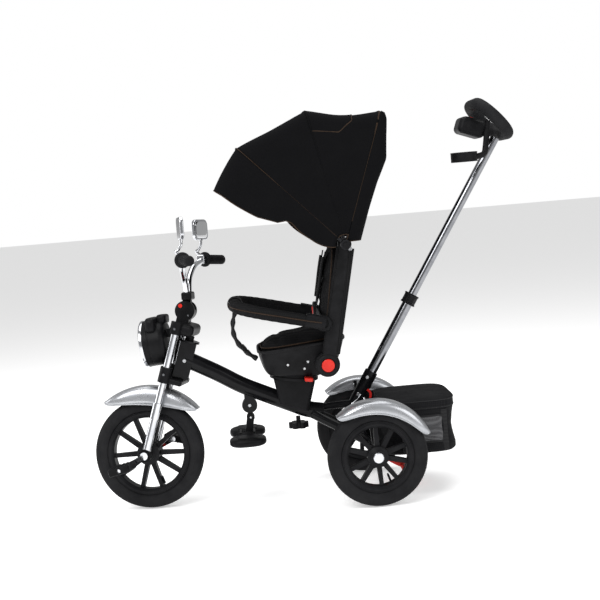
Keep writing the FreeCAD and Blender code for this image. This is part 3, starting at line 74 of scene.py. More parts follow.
def addMath(tree, operation, first, second=None, third=None):
    node = tree.nodes.new("ShaderNodeMath")
    node.operation = operation
    for socket, value in zip(node.inputs, (first, second, third)):
        if value is None:
            continue
        if isinstance(value, (int, float)):
            socket.default_value = value
        else:
            tree.links.new(value, socket)
    return node.outputs[0]


def addNoise(tree, vector, scale, detail, roughness=0.5):
    node = tree.nodes.new("ShaderNodeTexNoise")
    node.inputs["Detail"].default_value = detail
    node.inputs["Roughness"].default_value = roughness
    if isinstance(scale, (int, float)):
        node.inputs["Scale"].default_value = scale
    else:
        tree.links.new(scale, node.inputs["Scale"])
    tree.links.new(vector, node.inputs["Vector"])
    return node.outputs["Fac"]


def remap(tree, value, low, high, newLow=0.0, newHigh=1.0):
    node = tree.nodes.new("ShaderNodeMapRange")
    for name, number in (("From Min", low), ("From Max", high), ("To Min", newLow), ("To Max", newHigh)):
        node.inputs[name].default_value = number
    tree.links.new(value, node.inputs["Value"])
    return node.outputs["Result"]


vectorIn = ("Vector", "NodeSocketVector", None)

# fine moulded grain with slow patches of wear
grainGroup, enter, leave = newGroup("mouldedGrain", [vectorIn, ("Scale", "NodeSocketFloat", 900.0)],
                                    ["Height", "Patches"])
fine = addNoise(grainGroup, enter.outputs["Vector"], enter.outputs["Scale"], 3, 0.6)
slow = addNoise(grainGroup, enter.outputs["Vector"], 22.0, 4, 0.6)
grainGroup.links.new(fine, leave.inputs["Height"])
grainGroup.links.new(remap(grainGroup, slow, 0.35, 0.68), leave.inputs["Patches"])

# plain woven cloth: over and under threads along U and V
weaveGroup, enter, leave = newGroup("plainWeave", [vectorIn, ("Threads", "NodeSocketFloat", 1100.0)],
                                    ["Height", "Threads"])
split = weaveGroup.nodes.new("ShaderNodeSeparateXYZ")
weaveGroup.links.new(enter.outputs["Vector"], split.inputs[0])
waves = []
for axis in ("X", "Y", "Z"):
    turn = addMath(weaveGroup, "MULTIPLY", split.outputs[axis], enter.outputs["Threads"])
    waves.append(addMath(weaveGroup, "SINE", turn))
crossing = addMath(weaveGroup, "MULTIPLY", waves[0], waves[1])
crossing = addMath(weaveGroup, "ADD", crossing, addMath(weaveGroup, "MULTIPLY", waves[2], 0.5))
ragged = addNoise(weaveGroup, enter.outputs["Vector"], 260.0, 3, 0.7)
weaveGroup.links.new(addMath(weaveGroup, "ADD", crossing, ragged), leave.inputs["Height"])
weaveGroup.links.new(remap(weaveGroup, addMath(weaveGroup, "ADD", crossing, ragged), -0.6, 1.6),
                     leave.inputs["Threads"])

# ribbed webbing: ribs along one direction
ribGroup, enter, leave = newGroup("webbingRibs", [vectorIn, ("Ribs", "NodeSocketFloat", 2400.0)],
                                  ["Height", "Threads"])
split = ribGroup.nodes.new("ShaderNodeSeparateXYZ")
ribGroup.links.new(enter.outputs["Vector"], split.inputs[0])
ribs = addMath(ribGroup, "SINE", addMath(ribGroup, "MULTIPLY", split.outputs["Y"], enter.outputs["Ribs"]))
cross = addMath(ribGroup, "SINE", addMath(ribGroup, "MULTIPLY", split.outputs["Z"], enter.outputs["Ribs"]))
both = addMath(ribGroup, "ADD", ribs, addMath(ribGroup, "MULTIPLY", cross, 0.6))
ribGroup.links.new(both, leave.inputs["Height"])
ribGroup.links.new(remap(ribGroup, both, -1.6, 1.6), leave.inputs["Threads"])

# open mesh: round holes in a staggered net
meshGroup, enter, leave = newGroup("openMesh", [vectorIn, ("Cells", "NodeSocketFloat", 260.0)],
                                   ["Height", "Threads"])
cells = meshGroup.nodes.new("ShaderNodeTexVoronoi")
cells.inputs["Randomness"].default_value = 0.12
meshGroup.links.new(enter.outputs["Vector"], cells.inputs["Vector"])
meshGroup.links.new(enter.outputs["Cells"], cells.inputs["Scale"])
net = remap(meshGroup, cells.outputs["Distance"], 0.28, 0.5)
meshGroup.links.new(net, leave.inputs["Height"])
meshGroup.links.new(net, leave.inputs["Threads"])
print("shader groups ready")


# finishes; colour and tone are the two ends of the colour variation

def finish(slot, colour, tone, rough, kind="grain", scale=900.0, bump=0.1, depth=0.0002, **extra):
    return dict(slot=slot, colour=colour, tone=tone, rough=rough, kind=kind, scale=scale, bump=bump,
                depth=depth, **extra)


finishes = {
    "frameBlack": finish("painted_frame", (0.0035, 0.0035, 0.004), (0.007, 0.007, 0.008), (0.14, 0.24),
                         scale=240.0, bump=0.05, coat=0.12),
    "brightChrome": finish("chrome", (0.66, 0.67, 0.69), (0.5, 0.51, 0.54), (0.07, 0.17), scale=120.0,
                           bump=0.02, metal=1.0),
    "darkChrome": finish("dark_chrome", (0.27, 0.275, 0.29), (0.19, 0.195, 0.21), (0.12, 0.22), scale=120.0,
                         bump=0.02, metal=1.0),
    "silverPaint": finish("satin_silver", (0.44, 0.45, 0.47), (0.36, 0.37, 0.39), (0.24, 0.34), scale=2200.0,
                          bump=0.04, metal=0.75, coat=0.35),
    "blackMoulding": finish("black_plastic", (0.0045, 0.0045, 0.005), (0.01, 0.01, 0.011), (0.34, 0.48),
                            scale=1300.0, bump=0.16),
    "shellMoulding": finish("shell_plastic", (0.006, 0.006, 0.0065), (0.012, 0.012, 0.013), (0.38, 0.52),
                            scale=1100.0, bump=0.2),
    "rimMoulding": finish("rim_plastic", (0.007, 0.007, 0.008), (0.014, 0.014, 0.015), (0.36, 0.5),
                          scale=1300.0, bump=0.14),
    "tyreRubber": finish("tyre_rubber", (0.009, 0.009, 0.01), (0.017, 0.017, 0.018), (0.62, 0.8),
                         scale=1500.0, bump=0.3),
    "gripFoam": finish("grip_foam", (0.008, 0.008, 0.009), (0.016, 0.016, 0.017), (0.6, 0.78), scale=2600.0,
                       bump=0.45),
    "redMoulding": finish("red_plastic", (0.62, 0.028, 0.018), (0.5, 0.018, 0.012), (0.26, 0.4), scale=900.0,
                          bump=0.08, coat=0.3),
    "bowSteel": finish("bow_steel", (0.01, 0.01, 0.011), (0.018, 0.018, 0.02), (0.3, 0.42), scale=500.0,
                       bump=0.08),
    "lensClear": finish("lens", (0.86, 0.87, 0.85), (0.8, 0.81, 0.79), (0.06, 0.14), scale=160.0, bump=0.05,
                        glass=0.15),
    "canopyCloth": finish("canopy_fabric", (0.0025, 0.0025, 0.003), (0.0065, 0.0065, 0.007), (0.7, 0.86),
                          kind="weave", scale=1500.0, bump=0.35, shine=0.03, useMap=True),
    "seatCloth": finish("seat_fabric", (0.005, 0.005, 0.0055), (0.014, 0.014, 0.0145), (0.66, 0.84),
                        kind="weave", scale=1300.0, bump=0.4, shine=0.04),
    "strapWeb": finish("strap", (0.009, 0.009, 0.01), (0.022, 0.022, 0.023), (0.6, 0.76), kind="ribs",
                       scale=2400.0, bump=0.5, shine=0.15),
    "bagCloth": finish("bag_fabric", (0.006, 0.006, 0.007), (0.015, 0.015, 0.016), (0.6, 0.8), kind="weave",
                       scale=1200.0, bump=0.4, shine=0.04),
    "bagNet": finish("bag_fabric", (0.006, 0.006, 0.007), (0.12, 0.12, 0.125), (0.5, 0.66), kind="net",
                     scale=340.0, bump=0.7, depth=0.0006),
    "pipingCord": finish("canopy_fabric", (0.045, 0.028, 0.018), (0.02, 0.013, 0.009), (0.5, 0.7), kind="ribs",
                         scale=3600.0, bump=0.4),
    "threadBrown": finish("canopy_fabric", (0.038, 0.023, 0.014), (0.022, 0.014, 0.009), (0.5, 0.7),
                          kind="ribs", scale=5200.0, bump=0.4),
    "boltSteel": finish("chrome", (0.6, 0.61, 0.62), (0.45, 0.46, 0.48), (0.2, 0.34), scale=400.0, bump=0.06,
                        metal=1.0),
    "mirrorFace": finish("chrome", (0.86, 0.87, 0.88), (0.8, 0.81, 0.83), (0.02, 0.05), scale=60.0,
                         bump=0.005, metal=1.0),
    "redStrap": finish("red_plastic", (0.5, 0.02, 0.015), (0.36, 0.012, 0.01), (0.55, 0.7), kind="ribs",
                       scale=2600.0, bump=0.4),
}
kindGroups = {"grain": (grainGroup, "Scale", "Patches"), "weave": (weaveGroup, "Threads", "Threads"),
              "ribs": (ribGroup, "Ribs", "Threads"), "net": (meshGroup, "Cells", "Threads")}


def makeMaterial(name, look):
    material = bpy.data.materials.new(name)
    material.use_nodes = True
    tree = material.node_tree
    shader = tree.nodes["Principled BSDF"]
    shader.inputs["Metallic"].default_value = look.get("metal", 0.0)
    shader.inputs["Coat Weight"].default_value = look.get("coat", 0.0)
    shader.inputs["Coat Roughness"].default_value = 0.08
    shader.inputs["Specular IOR Level"].default_value = look.get("shine", 0.08)
    shader.inputs["Transmission Weight"].default_value = look.get("glass", 0.0)
    coordinates = tree.nodes.new("ShaderNodeTexCoord")
    source = coordinates.outputs["UV" if look.get("useMap") else "Object"]
    group, scaleName, maskName = kindGroups[look["kind"]]
    pattern = tree.nodes.new("ShaderNodeGroup")
    pattern.node_tree = group
    pattern.inputs[scaleName].default_value = look["scale"]
    tree.links.new(source, pattern.inputs["Vector"])
    wear = tree.nodes.new("ShaderNodeGroup")
    wear.node_tree = grainGroup
    tree.links.new(coordinates.outputs["Object"], wear.inputs["Vector"])
    mix = tree.nodes.new("ShaderNodeMix")
    mix.data_type = "RGBA"
    mix.inputs["A"].default_value = (*look["colour"], 1)
    mix.inputs["B"].default_value = (*look["tone"], 1)
    share = addMath(tree, "MULTIPLY_ADD", pattern.outputs[maskName], 0.75, addMath(
        tree, "MULTIPLY", wear.outputs["Patches"], 0.25))
    tree.links.new(share, mix.inputs["Factor"])
    tree.links.new(mix.outputs["Result"], shader.inputs["Base Color"])
    low, high = look["rough"]
    tree.links.new(remap(tree, wear.outputs["Patches"], 0, 1, low, high), shader.inputs["Roughness"])
    bump = tree.nodes.new("ShaderNodeBump")
    bump.inputs["Strength"].default_value = look["bump"]
    bump.inputs["Distance"].default_value = look["depth"]
    tree.links.new(pattern.outputs["Height"], bump.inputs["Height"])
    tree.links.new(bump.outputs["Normal"], shader.inputs["Normal"])
    return material


materials = {name: makeMaterial(name, look) for name, look in finishes.items()}
print("finishes ready:", len(materials))

# every carried-over CAD node gets its finish
nodeFinish = {
    "frameBlack": ["main_tube", "head_tube", "rear_frame"],
    "brightChrome": ["fork_legs", "handlebar", "mirror_stems", "mirror_left", "mirror_right", "crankset",
                     "rear_axle", "headlight_bezel"],
    "darkChrome": ["lower_push_tube", "upper_push_tube"],
    "silverPaint": ["front_mudguard", "rear_mudguards"],
    "blackMoulding": ["fork_ends", "lower_crown", "upper_crown", "handlebar_clamp", "headlight_housing",
                      "sound_box", "seat_post", "seat_knob", "push_tube_clamp", "push_console", "cup_holder",
                      "footrest_arm", "foot_plate_left", "foot_plate_right", "pedal_left", "pedal_right"],
    "shellMoulding": ["seat_shell", "backrest_frame"],
    "rimMoulding": ["front_rim", "rear_rim_left", "rear_rim_right"],
    "tyreRubber": ["front_tyre", "rear_tyre_left", "rear_tyre_right"],
    "gripFoam": ["grips", "push_handle"],
    "redMoulding": ["handlebar_button", "clutch_knob", "swivel_lever", "recline_button_left",
                    "recline_button_right", "brake_pedal"],
    "lensClear": ["headlight_lens"],
    "bowSteel": ["mid_bow", "front_bow"],
    "canopyCloth": ["canopy_rear", "canopy_front", "canopy_visor"],
    "seatCloth": ["seat_cushion", "backrest_cushion", "safety_bar"],
    "strapWeb": ["harness", "crotch_strap"],
    "bagCloth": ["bag_body", "bag_lid"],
}
for finishName, nodes in nodeFinish.items():
    for node in nodes:
        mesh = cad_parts[node].data
        mesh.materials.clear()
        mesh.materials.append(materials[finishName])


# mesh helpers

# a sheet of quads whose points are placed by a rule of (u, v); its UV map is in metres
def surface(columns, rows, place, spread=(1.0, 1.0)):
    mesh = bmesh.new()
    bmesh.ops.create_grid(mesh, x_segments=columns, y_segments=rows, size=0.5)
    cloth = mesh.loops.layers.uv.new("cloth")
    for face in mesh.faces:
        for loop in face.loops:
            loop[cloth].uv = ((loop.vert.co.x + 0.5) * spread[0], (loop.vert.co.y + 0.5) * spread[1])
    for vert in mesh.verts:
        vert.co = Vector(place(vert.co.x + 0.5, vert.co.y + 0.5))
    return mesh


def lathe(profile, steps, placement=Matrix.Identity(4)):
    mesh = bmesh.new()
    verts = [mesh.verts.new((radius, 0, height)) for radius, height in profile]
    edges = [mesh.edges.new(pair) for pair in zip(verts, verts[1:])]
    bmesh.ops.spin(mesh, geom=verts + edges, cent=(0, 0, 0), axis=(0, 0, 1), angle=2 * math.pi, steps=steps,
                   use_merge=True)
    bmesh.ops.transform(mesh, matrix=placement, verts=mesh.verts)
    return mesh


# a Z axis laid along the given way, with its origin at the point
def laidOut(point, way):
    turn = Vector((0, 0, 1)).rotation_difference(Vector(way)).to_matrix().to_4x4()
    return Matrix.Translation(Vector(point)) @ turn


def smoothPath(points, steps, closed=False):
    points = [Vector(p) for p in points]
    count = len(points)
    path = []
    for i in range(count if closed else count - 1):
        if closed:
            a, b, c, d = (points[(i + k - 1) % count] for k in range(4))
        else:
            b, c = points[i], points[i + 1]
            a = points[i - 1] if i else b * 2 - c
            d = points[i + 2] if i + 2 < count else c * 2 - b
        for step in range(steps):
            t = step / steps
            path.append(0.5 * (2 * b + (c - a) * t + (2 * a - 5 * b + 4 * c - d) * t * t
                               + (3 * b - a - 3 * c + d) * t ** 3))
    path.append(points[0].copy() if closed else points[-1].copy())
    return path


# a section carried along a path; section(v, angle) gives its two reaches
def sweep(path, section, sides, up=Vector((0, 0, 1)), closed=False, spread=(1.0, 1.0)):
    count = len(path)
    frames = []
    for i, point in enumerate(path):
        if closed:
            way = path[(i + 1) % (count - 1)] - path[(i - 1) % (count - 1)]
        else:
            way = path[min(i + 1, count - 1)] - path[max(i - 1, 0)]
        way.normalize()
        side = way.cross(up).normalized()
        frames.append((point, side, side.cross(way).normalized()))

    def place(u, v):
        point, side, rise = frames[int(round(v * (count - 1)))]
        a, b = section(v, 2 * math.pi * u)
        return point + side * a + rise * b

    mesh = surface(sides, count - 1, place, spread)
    bmesh.ops.remove_doubles(mesh, verts=mesh.verts, dist=1e-6)
    if not closed:
        bmesh.ops.holes_fill(mesh, edges=mesh.edges, sides=0)
    return mesh


def roundSection(radius):
    return lambda v, angle: (radius * math.cos(angle), radius * math.sin(angle))


# where a rounded square's edge lies at an angle, in shares of its half width and half height
def squared(angle, power):
    c, s = math.cos(angle), math.sin(angle)
    size = (abs(c) ** power + abs(s) ** power) ** (-1 / power)
    return c * size, s * size


def ovalSection(width, height, power=2.6):
    def reach(v, angle):
        across, rise = squared(angle, power)
        return width / 2 * across, height / 2 * rise
    return reach


def squaredRing(count, power, place):
    return [place(*squared(2 * math.pi * i / count, power)) for i in range(count + 1)]


# a rounded block: a cube's points drawn onto a superellipsoid
def pillow(size, power, cuts, placement=Matrix.Identity(4)):
    mesh = bmesh.new()
    bmesh.ops.create_cube(mesh, size=2)
    bmesh.ops.subdivide_edges(mesh, edges=mesh.edges, cuts=cuts, use_grid_fill=True)
    for vert in mesh.verts:
        reach = sum(abs(c) ** power for c in vert.co) ** (1 / power)
        vert.co = Vector(c / reach * s / 2 for c, s in zip(vert.co, size))
    bmesh.ops.transform(mesh, matrix=placement, verts=mesh.verts)
    return mesh


def join(target, *others):
    for other in others:
        data = bpy.data.meshes.new("part")
        other.to_mesh(data)
        other.free()
        target.from_mesh(data)
        bpy.data.meshes.remove(data)
    return target


def bolt(point, way, radius, height=0.003, hexed=True):
    profile = [(0, height * 0.55), (radius * 0.42, height * 0.55), (radius * 0.5, height),
               (radius * 0.8, height), (radius, height * 0.6), (radius, -0.001), (0, -0.001)]
    return lathe(profile, 6 if hexed else 20, laidOut(point, way))


def piece(name, mesh, finishName, body=None, crease=40.0, subdivide=0, thickness=0.0, recalculate=True,
          merge=1e-6):
    bmesh.ops.remove_doubles(mesh, verts=mesh.verts, dist=merge)
    if recalculate:
        bmesh.ops.recalc_face_normals(mesh, faces=mesh.faces)
    for face in mesh.faces:
        face.smooth = True
    for edge in mesh.edges:
        if len(edge.link_faces) == 2 and edge.calc_face_angle(0) > math.radians(crease):
            edge.smooth = False
    data = bpy.data.meshes.new(name)
    mesh.to_mesh(data)
    mesh.free()
    data.materials.append(materials[finishName])
    item = bpy.data.objects.new(name, data)
    bpy.context.scene.collection.objects.link(item)
    if thickness:
        shell = item.modifiers.new("shell", "SOLIDIFY")
        shell.thickness = thickness
        shell.offset = 0
    if subdivide:
        rounding = item.modifiers.new("rounding", "SUBSURF")
        rounding.levels = rounding.render_levels = subdivide
    if body:
        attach(item, body)
    return item


def steered(mesh):
    bmesh.ops.transform(mesh, matrix=steerTurn, verts=mesh.verts)
    return mesh


def mix(a, b, share):
    return a + (b - a) * share


# wheels: tyres with lugs and grooves, in place of the plain rings

tyreDesign = {"front": 0.15, "rear": 0.13, "section": 0.037, "width": 0.044, "lugs": 76, "groove": 0.0016,
              "slant": 9.0, "sipe": 0.0011}


def makeTyre(name, node, hub, radius, body, turn=None):
    inner = radius - tyreDesign["section"]
    half = [(0.36, 0.02), (0.44, 0.1), (0.49, 0.26), (0.505, 0.42), (0.495, 0.47), (0.49, 0.6), (0.46, 0.76),
            (0.37, 0.91), (0.2, 0.985), (0.0, 1.0)]
    ring = [(w, h) for w, h in half] + [(-w, h) for w, h in reversed(half[:-1])] + [(-0.2, 0.0), (0.2, 0.0)]
    outline = smoothPath([(w, h, 0) for w, h in ring], 3, closed=True)
    rows = tyreDesign["lugs"] * 4

    def place(u, v):
        w, h, _ = outline[int(round(u * (len(outline) - 1)))]
        reach = inner + h * tyreDesign["section"]
        angle = 2 * math.pi * v
        if h > 0.72:
            lug = (v * tyreDesign["lugs"] + abs(w) * tyreDesign["slant"] * 0.35) % 1.0
            if lug < 0.26 and abs(w) > 0.06:
                reach -= tyreDesign["groove"]
            if 0.05 < abs(w) < 0.12:
                reach -= tyreDesign["sipe"]
        return hub + Vector((reach * math.cos(angle), w * tyreDesign["width"], reach * math.sin(angle)))

    mesh = surface(len(outline) - 1, rows, place)
    if turn:
        bmesh.ops.transform(mesh, matrix=turn, verts=mesh.verts)
    item = piece(name, mesh, "tyreRubber", body, crease=35)
    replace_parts(item, node)


makeTyre("frontTyre", "front_tyre", frontHub, tyreDesign["front"], "front_wheel", steerTurn)
for side in sideWays:
    makeTyre(f"rearTyre{side.title()}", f"rear_tyre_{side}", rearWheelHubs[side], tyreDesign["rear"],
             f"rear_wheel_{side}")
print("tyres ready")

# mouldings on the rims: a ring bead near the edge, a stepped hub and the valve
rimDesign = {"bead": 0.0022, "hubRing": 0.0035}


def makeRimTrim(name, hub, radius, hubRadius, hubHalf, body, turn=None):
    outer = radius - tyreDesign["section"]
    mesh = bmesh.new()
    for way in (-1, 1):
        face = hub + Vector((0, way * 0.018, 0))
        bead = rimDesign["bead"]
        ring = [(outer - 0.0115, -0.0015), (outer - 0.011, bead * 0.6), (outer - 0.009, bead),
                (outer - 0.006, bead), (outer - 0.004, bead * 0.6), (outer - 0.0035, -0.0015),
                (outer - 0.0115, -0.0015)]
        join(mesh, lathe(ring, 96, laidOut(face, (0, way, 0))))
        step = [(hubRadius * 0.66, -0.002), (hubRadius * 0.66, rimDesign["hubRing"]),
                (hubRadius * 0.58, rimDesign["hubRing"] + 0.0015),
                (hubRadius * 0.3, rimDesign["hubRing"] + 0.0015),
                (hubRadius * 0.3, -0.002), (hubRadius * 0.66, -0.002)]
        join(mesh, lathe(step, 40, laidOut(hub + Vector((0, way * (hubHalf - 0.0005), 0)), (0, way, 0))))
    valve = [(0, 0.02), (0.002, 0.02), (0.0024, 0.017), (0.003, 0.016), (0.003, -0.002), (0, -0.002)]
    valveFoot = hub + Vector((0.3 * outer, 0, -0.87 * (outer - 0.016)))
    join(mesh, lathe(valve, 12, laidOut(valveFoot, (-0.3, 0, 0.95))))
    if turn:
        bmesh.ops.transform(mesh, matrix=turn, verts=mesh.verts)
    return piece(name, mesh, "rimMoulding", body)


makeRimTrim("frontRimTrim", frontHub, tyreDesign["front"], 0.031, 0.031, "front_wheel", steerTurn)
for side in sideWays:
    makeRimTrim(f"rearRimTrim{side.title()}", rearWheelHubs[side], tyreDesign["rear"], 0.027, 0.027,
                f"rear_wheel_{side}")


# mudguards: pressed arches with rolled lips

guardDesign = {
    "front": dict(radius=0.184, half=0.033, start=127.0, end=38.0, depth=0.05, power=0.62, tip=0.006),
    "rear": dict(radius=0.148, half=0.036, start=131.0, end=21.0, depth=0.034, power=0.5, tip=0.008),
    "thickness": 0.0016,
}


def makeGuard(name, hub, design, body, turn=None):
    def place(u, v):
        angle = math.radians(mix(design["start"], design["end"], v))
        depth = design["tip"] + (design["depth"] - design["tip"]) * math.sin(math.pi * v) ** design["power"]
        turned = math.pi * (1 - u)
        c, s = math.cos(turned), max(math.sin(turned), 0.0)
        narrow = 1 - 0.35 * abs(2 * v - 1) ** 9
        across = design["half"] * narrow * math.copysign(abs(c) ** 0.55, c)
        reach = design["radius"] - depth * (1 - s ** 0.62)
        return hub + Vector((reach * math.cos(angle), across, reach * math.sin(angle)))

    mesh = surface(36, 72, place)
    lip = bmesh.new()
    edgeLine = [Vector(place(0, i / 72)) for i in range(73)]
    edgeLine += [Vector(place(i / 36, 1)) for i in range(1, 36)]
    edgeLine += [Vector(place(1, 1 - i / 72)) for i in range(73)]
    edgeLine += [Vector(place(1 - i / 36, 0)) for i in range(1, 37)]
    join(lip, sweep(edgeLine, roundSection(0.0019), 8, up=Vector((0.1, 0.3, 1)), closed=True))
    for part in (mesh, lip):
        if turn:
            bmesh.ops.transform(part, matrix=turn, verts=part.verts)
    shell = piece(name, mesh, "silverPaint", body, thickness=guardDesign["thickness"])
    piece(name + "Lip", lip, "silverPaint", body)
    return shell


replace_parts(makeGuard("frontGuard", frontHub, guardDesign["front"], "fork", steerTurn), "front_mudguard")
guards = [makeGuard(f"rearGuard{side.title()}", rearWheelHubs[side], guardDesign["rear"], "frame")
          for side in sideWays]
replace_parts(guards[0], "rear_mudguards")

# the steel stays' bolts on the fork and the guards
mesh = bmesh.new()
for way in (-1, 1):
    join(mesh, bolt(rearHub + Vector((-0.012, way * (0.22 - 0.036), 0.13)), (0, -way, 0), 0.006))
    join(mesh, bolt((0.12 + 0.012, way * 0.0178, 0.262), (0, way, 0), 0.0055))
    join(mesh, bolt((0.12 + 0.040, way * 0.0178, 0.306), (0, way, 0), 0.0055))
piece("frameBolts", mesh, "boltSteel", "frame")
print("wheels and guards ready")


# headlight: hollow housing, dish, bulb, ribbed lens and chrome bezel

lampDesign = {"radius": 0.062, "depth": 0.062, "bulge": 0.015, "ribs": 26}
lampBack = Vector((-0.37, 0, 0.451))
lampPlace = laidOut(lampBack, (-0.9962, 0, -0.0872))
r, d = lampDesign["radius"], lampDesign["depth"]
housing = [(0, 0), (r * 0.8, 0.0), (r * 0.88, 0.001), (r * 0.94, 0.004), (r * 0.98, 0.0085), (r, 0.015),
           (r, 0.042), (r * 0.985, 0.043), (r * 0.985, 0.0455), (r, 0.0465), (r, d), (r - 0.004, d),
           (r - 0.005, 0.03), (r * 0.5, 0.008), (0, 0.006)]
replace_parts(piece("lampHousing", steered(lathe(housing, 72, lampPlace)), "blackMoulding", "fork"),
            "headlight_housing")
bezel = [(r - 0.009, d - 0.002), (r + 0.0015, d - 0.003), (r + 0.0025, d + 0.001), (r + 0.002, d + 0.004),
         (r - 0.001, d + 0.0065), (r - 0.005, d + 0.0072), (r - 0.008, d + 0.0058), (r - 0.009, d + 0.003),
         (r - 0.009, d - 0.002)]
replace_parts(piece("lampBezel", steered(lathe(bezel, 96, lampPlace)), "brightChrome", "fork"), "headlight_bezel")
dish = [(0.006, 0.016), (0.02, 0.02), (0.036, 0.032), (0.047, 0.048), (0.052, d - 0.001), (0.0545, d - 0.001),
        (0.0485, 0.047), (0.037, 0.03), (0.02, 0.018), (0.006, 0.014), (0.006, 0.016)]
piece("lampDish", steered(lathe(dish, 64, lampPlace)), "mirrorFace", "fork")
piece("lampBulb", steered(lathe([(0, 0.046), (0.004, 0.045), (0.007, 0.041), (0.008, 0.036), (0.006, 0.03),
                                 (0.005, 0.012), (0, 0.012)], 24, lampPlace)), "lensClear", "fork")
lens = []
for i in range(15):
    share = i / 14
    lens.append((share * (r - 0.0085), d + 0.002 + lampDesign["bulge"] * (1 - share ** 2.2)))
lens += [(share * (r - 0.0085), d + lampDesign["bulge"] * 0.9 * (1 - share ** 2.2))
         for share in (0.98, 0.7, 0.4)]
lens.append((0, d + lampDesign["bulge"] * 0.9))
lensMesh = lathe(lens, lampDesign["ribs"] * 4, lampPlace)
for vert in lensMesh.verts:
    side = vert.co - lampBack
    ripple = math.cos(side.y * 520) * 0.00045
    if 0.004 < abs(side.y) < r * 0.8:
        vert.co += Vector((-ripple, 0, 0))
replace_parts(piece("lampLens", steered(lensMesh), "lensClear", "fork"), "headlight_lens")
podDesign = {"main": (0.03, 0.124, 0.042), "bump": (0.027, 0.062, 0.026), "slots": 4}
pods = pillow(podDesign["main"], 5, 7, Matrix.Translation(lampBack + Vector((-0.036, 0, 0.046))))
join(pods, pillow(podDesign["bump"], 4.5, 6, Matrix.Translation(lampBack + Vector((-0.011, 0, 0.06)))))
for way in (-1, 1):
    for i in range(podDesign["slots"]):
        join(pods, pillow((0.0032, 0.012, 0.0024), 4, 3, Matrix.Translation(
            lampBack + Vector((-0.0505, way * 0.05, 0.042 + 0.0055 * i)))))
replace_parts(piece("soundPod", steered(pods), "blackMoulding", "fork"), "sound_box")

# bolts and washers of the fork and the head tube
mesh = bmesh.new()
rake = Vector((math.sin(math.radians(18.5)), 0, math.cos(math.radians(18.5))))
for way in (-1, 1):
    join(mesh, bolt(frontHub + Vector((0, way * 0.0631, 0)), (0, way, 0), 0.0062, 0.003))
    legFoot = frontHub + rake * 0.352 + Vector((0, way * 0.068, 0))
    join(mesh, bolt(legFoot, (0, way, 0), 0.0045, 0.003))
    join(mesh, bolt(frontHub + rake * 0.226 + Vector((0, way * 0.068, 0)), (0, way, 0), 0.0045, 0.003))
    join(mesh, bolt((-0.3065, way * 0.018, 0.5155), (0, way, 0), 0.0035, 0.002))
piece("forkBolts", steered(mesh), "darkChrome", "fork")
mesh = bmesh.new()
headTube = Vector((-0.4157, 0, 0.1395)) + rake * 0.27
for way in (-1, 1):
    join(mesh, bolt(headTube + Vector((0, way * 0.0222, 0)), (0, way, 0), 0.006, 0.004))
piece("headTubeBolts", mesh, "boltSteel", "frame")


# handlebar: ribbed grips, collars and mirror faces

gripDesign = {"radius": 0.0135, "length": 0.086, "ribs": 11, "collar": 0.021, "rib": 0.0013}
grips = bmesh.new()
for side, way in sideWays.items():
    inner = Vector((-0.283, way * 0.145, 0.664))
    end = Vector((-0.248, way * 0.225, 0.66))
    run = (end - inner).normalized()
    start = end - run * (gripDesign["length"] - 0.006)
    profile = [(0.0086, -0.006), (gripDesign["collar"] * 0.92, -0.006), (gripDesign["collar"], -0.004),
               (gripDesign["collar"], -0.001), (gripDesign["collar"] * 0.9, 0.0012),
               (gripDesign["radius"], 0.0022)]
    step = (gripDesign["length"] - 0.02) / gripDesign["ribs"]
    for i in range(gripDesign["ribs"]):
        base = 0.006 + i * step
        profile += [(gripDesign["radius"] - gripDesign["rib"], base), (gripDesign["radius"], base + step * 0.3),
                    (gripDesign["radius"], base + step * 0.75), (gripDesign["radius"] - gripDesign["rib"],
                                                                 base + step * 0.95)]
    profile += [(gripDesign["radius"], 0.073), (gripDesign["radius"], 0.081),
                (gripDesign["radius"] * 0.8, 0.085), (0.006, 0.086), (0, 0.086)]
    join(grips, lathe(profile, 40, laidOut(start, run)))
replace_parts(piece("gripPair", steered(grips), "gripFoam", "handlebar"), "grips")
mirrorDesign = {"width": 0.06, "height": 0.046, "bulge": 0.0022}
for side, way in sideWays.items():
    spot = Vector((-0.28462, way * 0.13, 0.716))
    turn = Matrix.Translation(spot) @ Matrix.Rotation(math.radians(-20 * way), 4, "Z")
    glass = pillow((mirrorDesign["bulge"], mirrorDesign["width"], mirrorDesign["height"]), 5, 9,
                   turn @ Matrix.Translation((0.0048, 0, 0.031)))
    piece(f"mirrorGlass{side.title()}", steered(glass), "mirrorFace", f"mirror_{side}")
print("front end ready")


# canopy: one continuous cloth over three bows, in polar places about its hinge

canopyDesign = {
    "angles": (70.6, 102.2, 133.8, 153.0),          # rear, middle and front bow, and the visor's tip
    "reach": (353.0, 355.5, 371.0, 364.0),          # mm from the hinge to the cloth at each
    "half": (186.0, 192.0, 200.0, 200.0),           # half width at each
    "sag": (25.0, 15.0, 2.0),                       # how far each stretch falls inside its arc
    "shoulder": 30.0, "inner": 27.0, "crown": 3.0, "cloth": 0.0016, "wrinkle": 1.5,
}
backLine = [(1010.5, 236.5), (1006.0, 245.0), (992.0, 249.5), (960.0, 248.0), (890.0, 243.0), (832.0, 214.0),
            (760.0, 186.0), (686.0, 160.0)]
lowEdge = [(30.0, 187.0), (92.0, 166.0), (150.0, 153.5), (166.0, 153.0), (185.0, 157.0), (240.0, 157.8),
           (300.0, 155.6), (345.0, 153.6), (372.0, 153.0)]


def lookUp(table, value):
    if value <= table[0][0]:
        return table[0][1]
    for (x0, y0), (x1, y1) in zip(table, table[1:]):
        if value <= x1:
            share = (value - x0) / (x1 - x0)
            return mix(y0, y1, share)
    return table[-1][1]


def ripple(point, size):
    return noise.noise(Vector(point) * size)


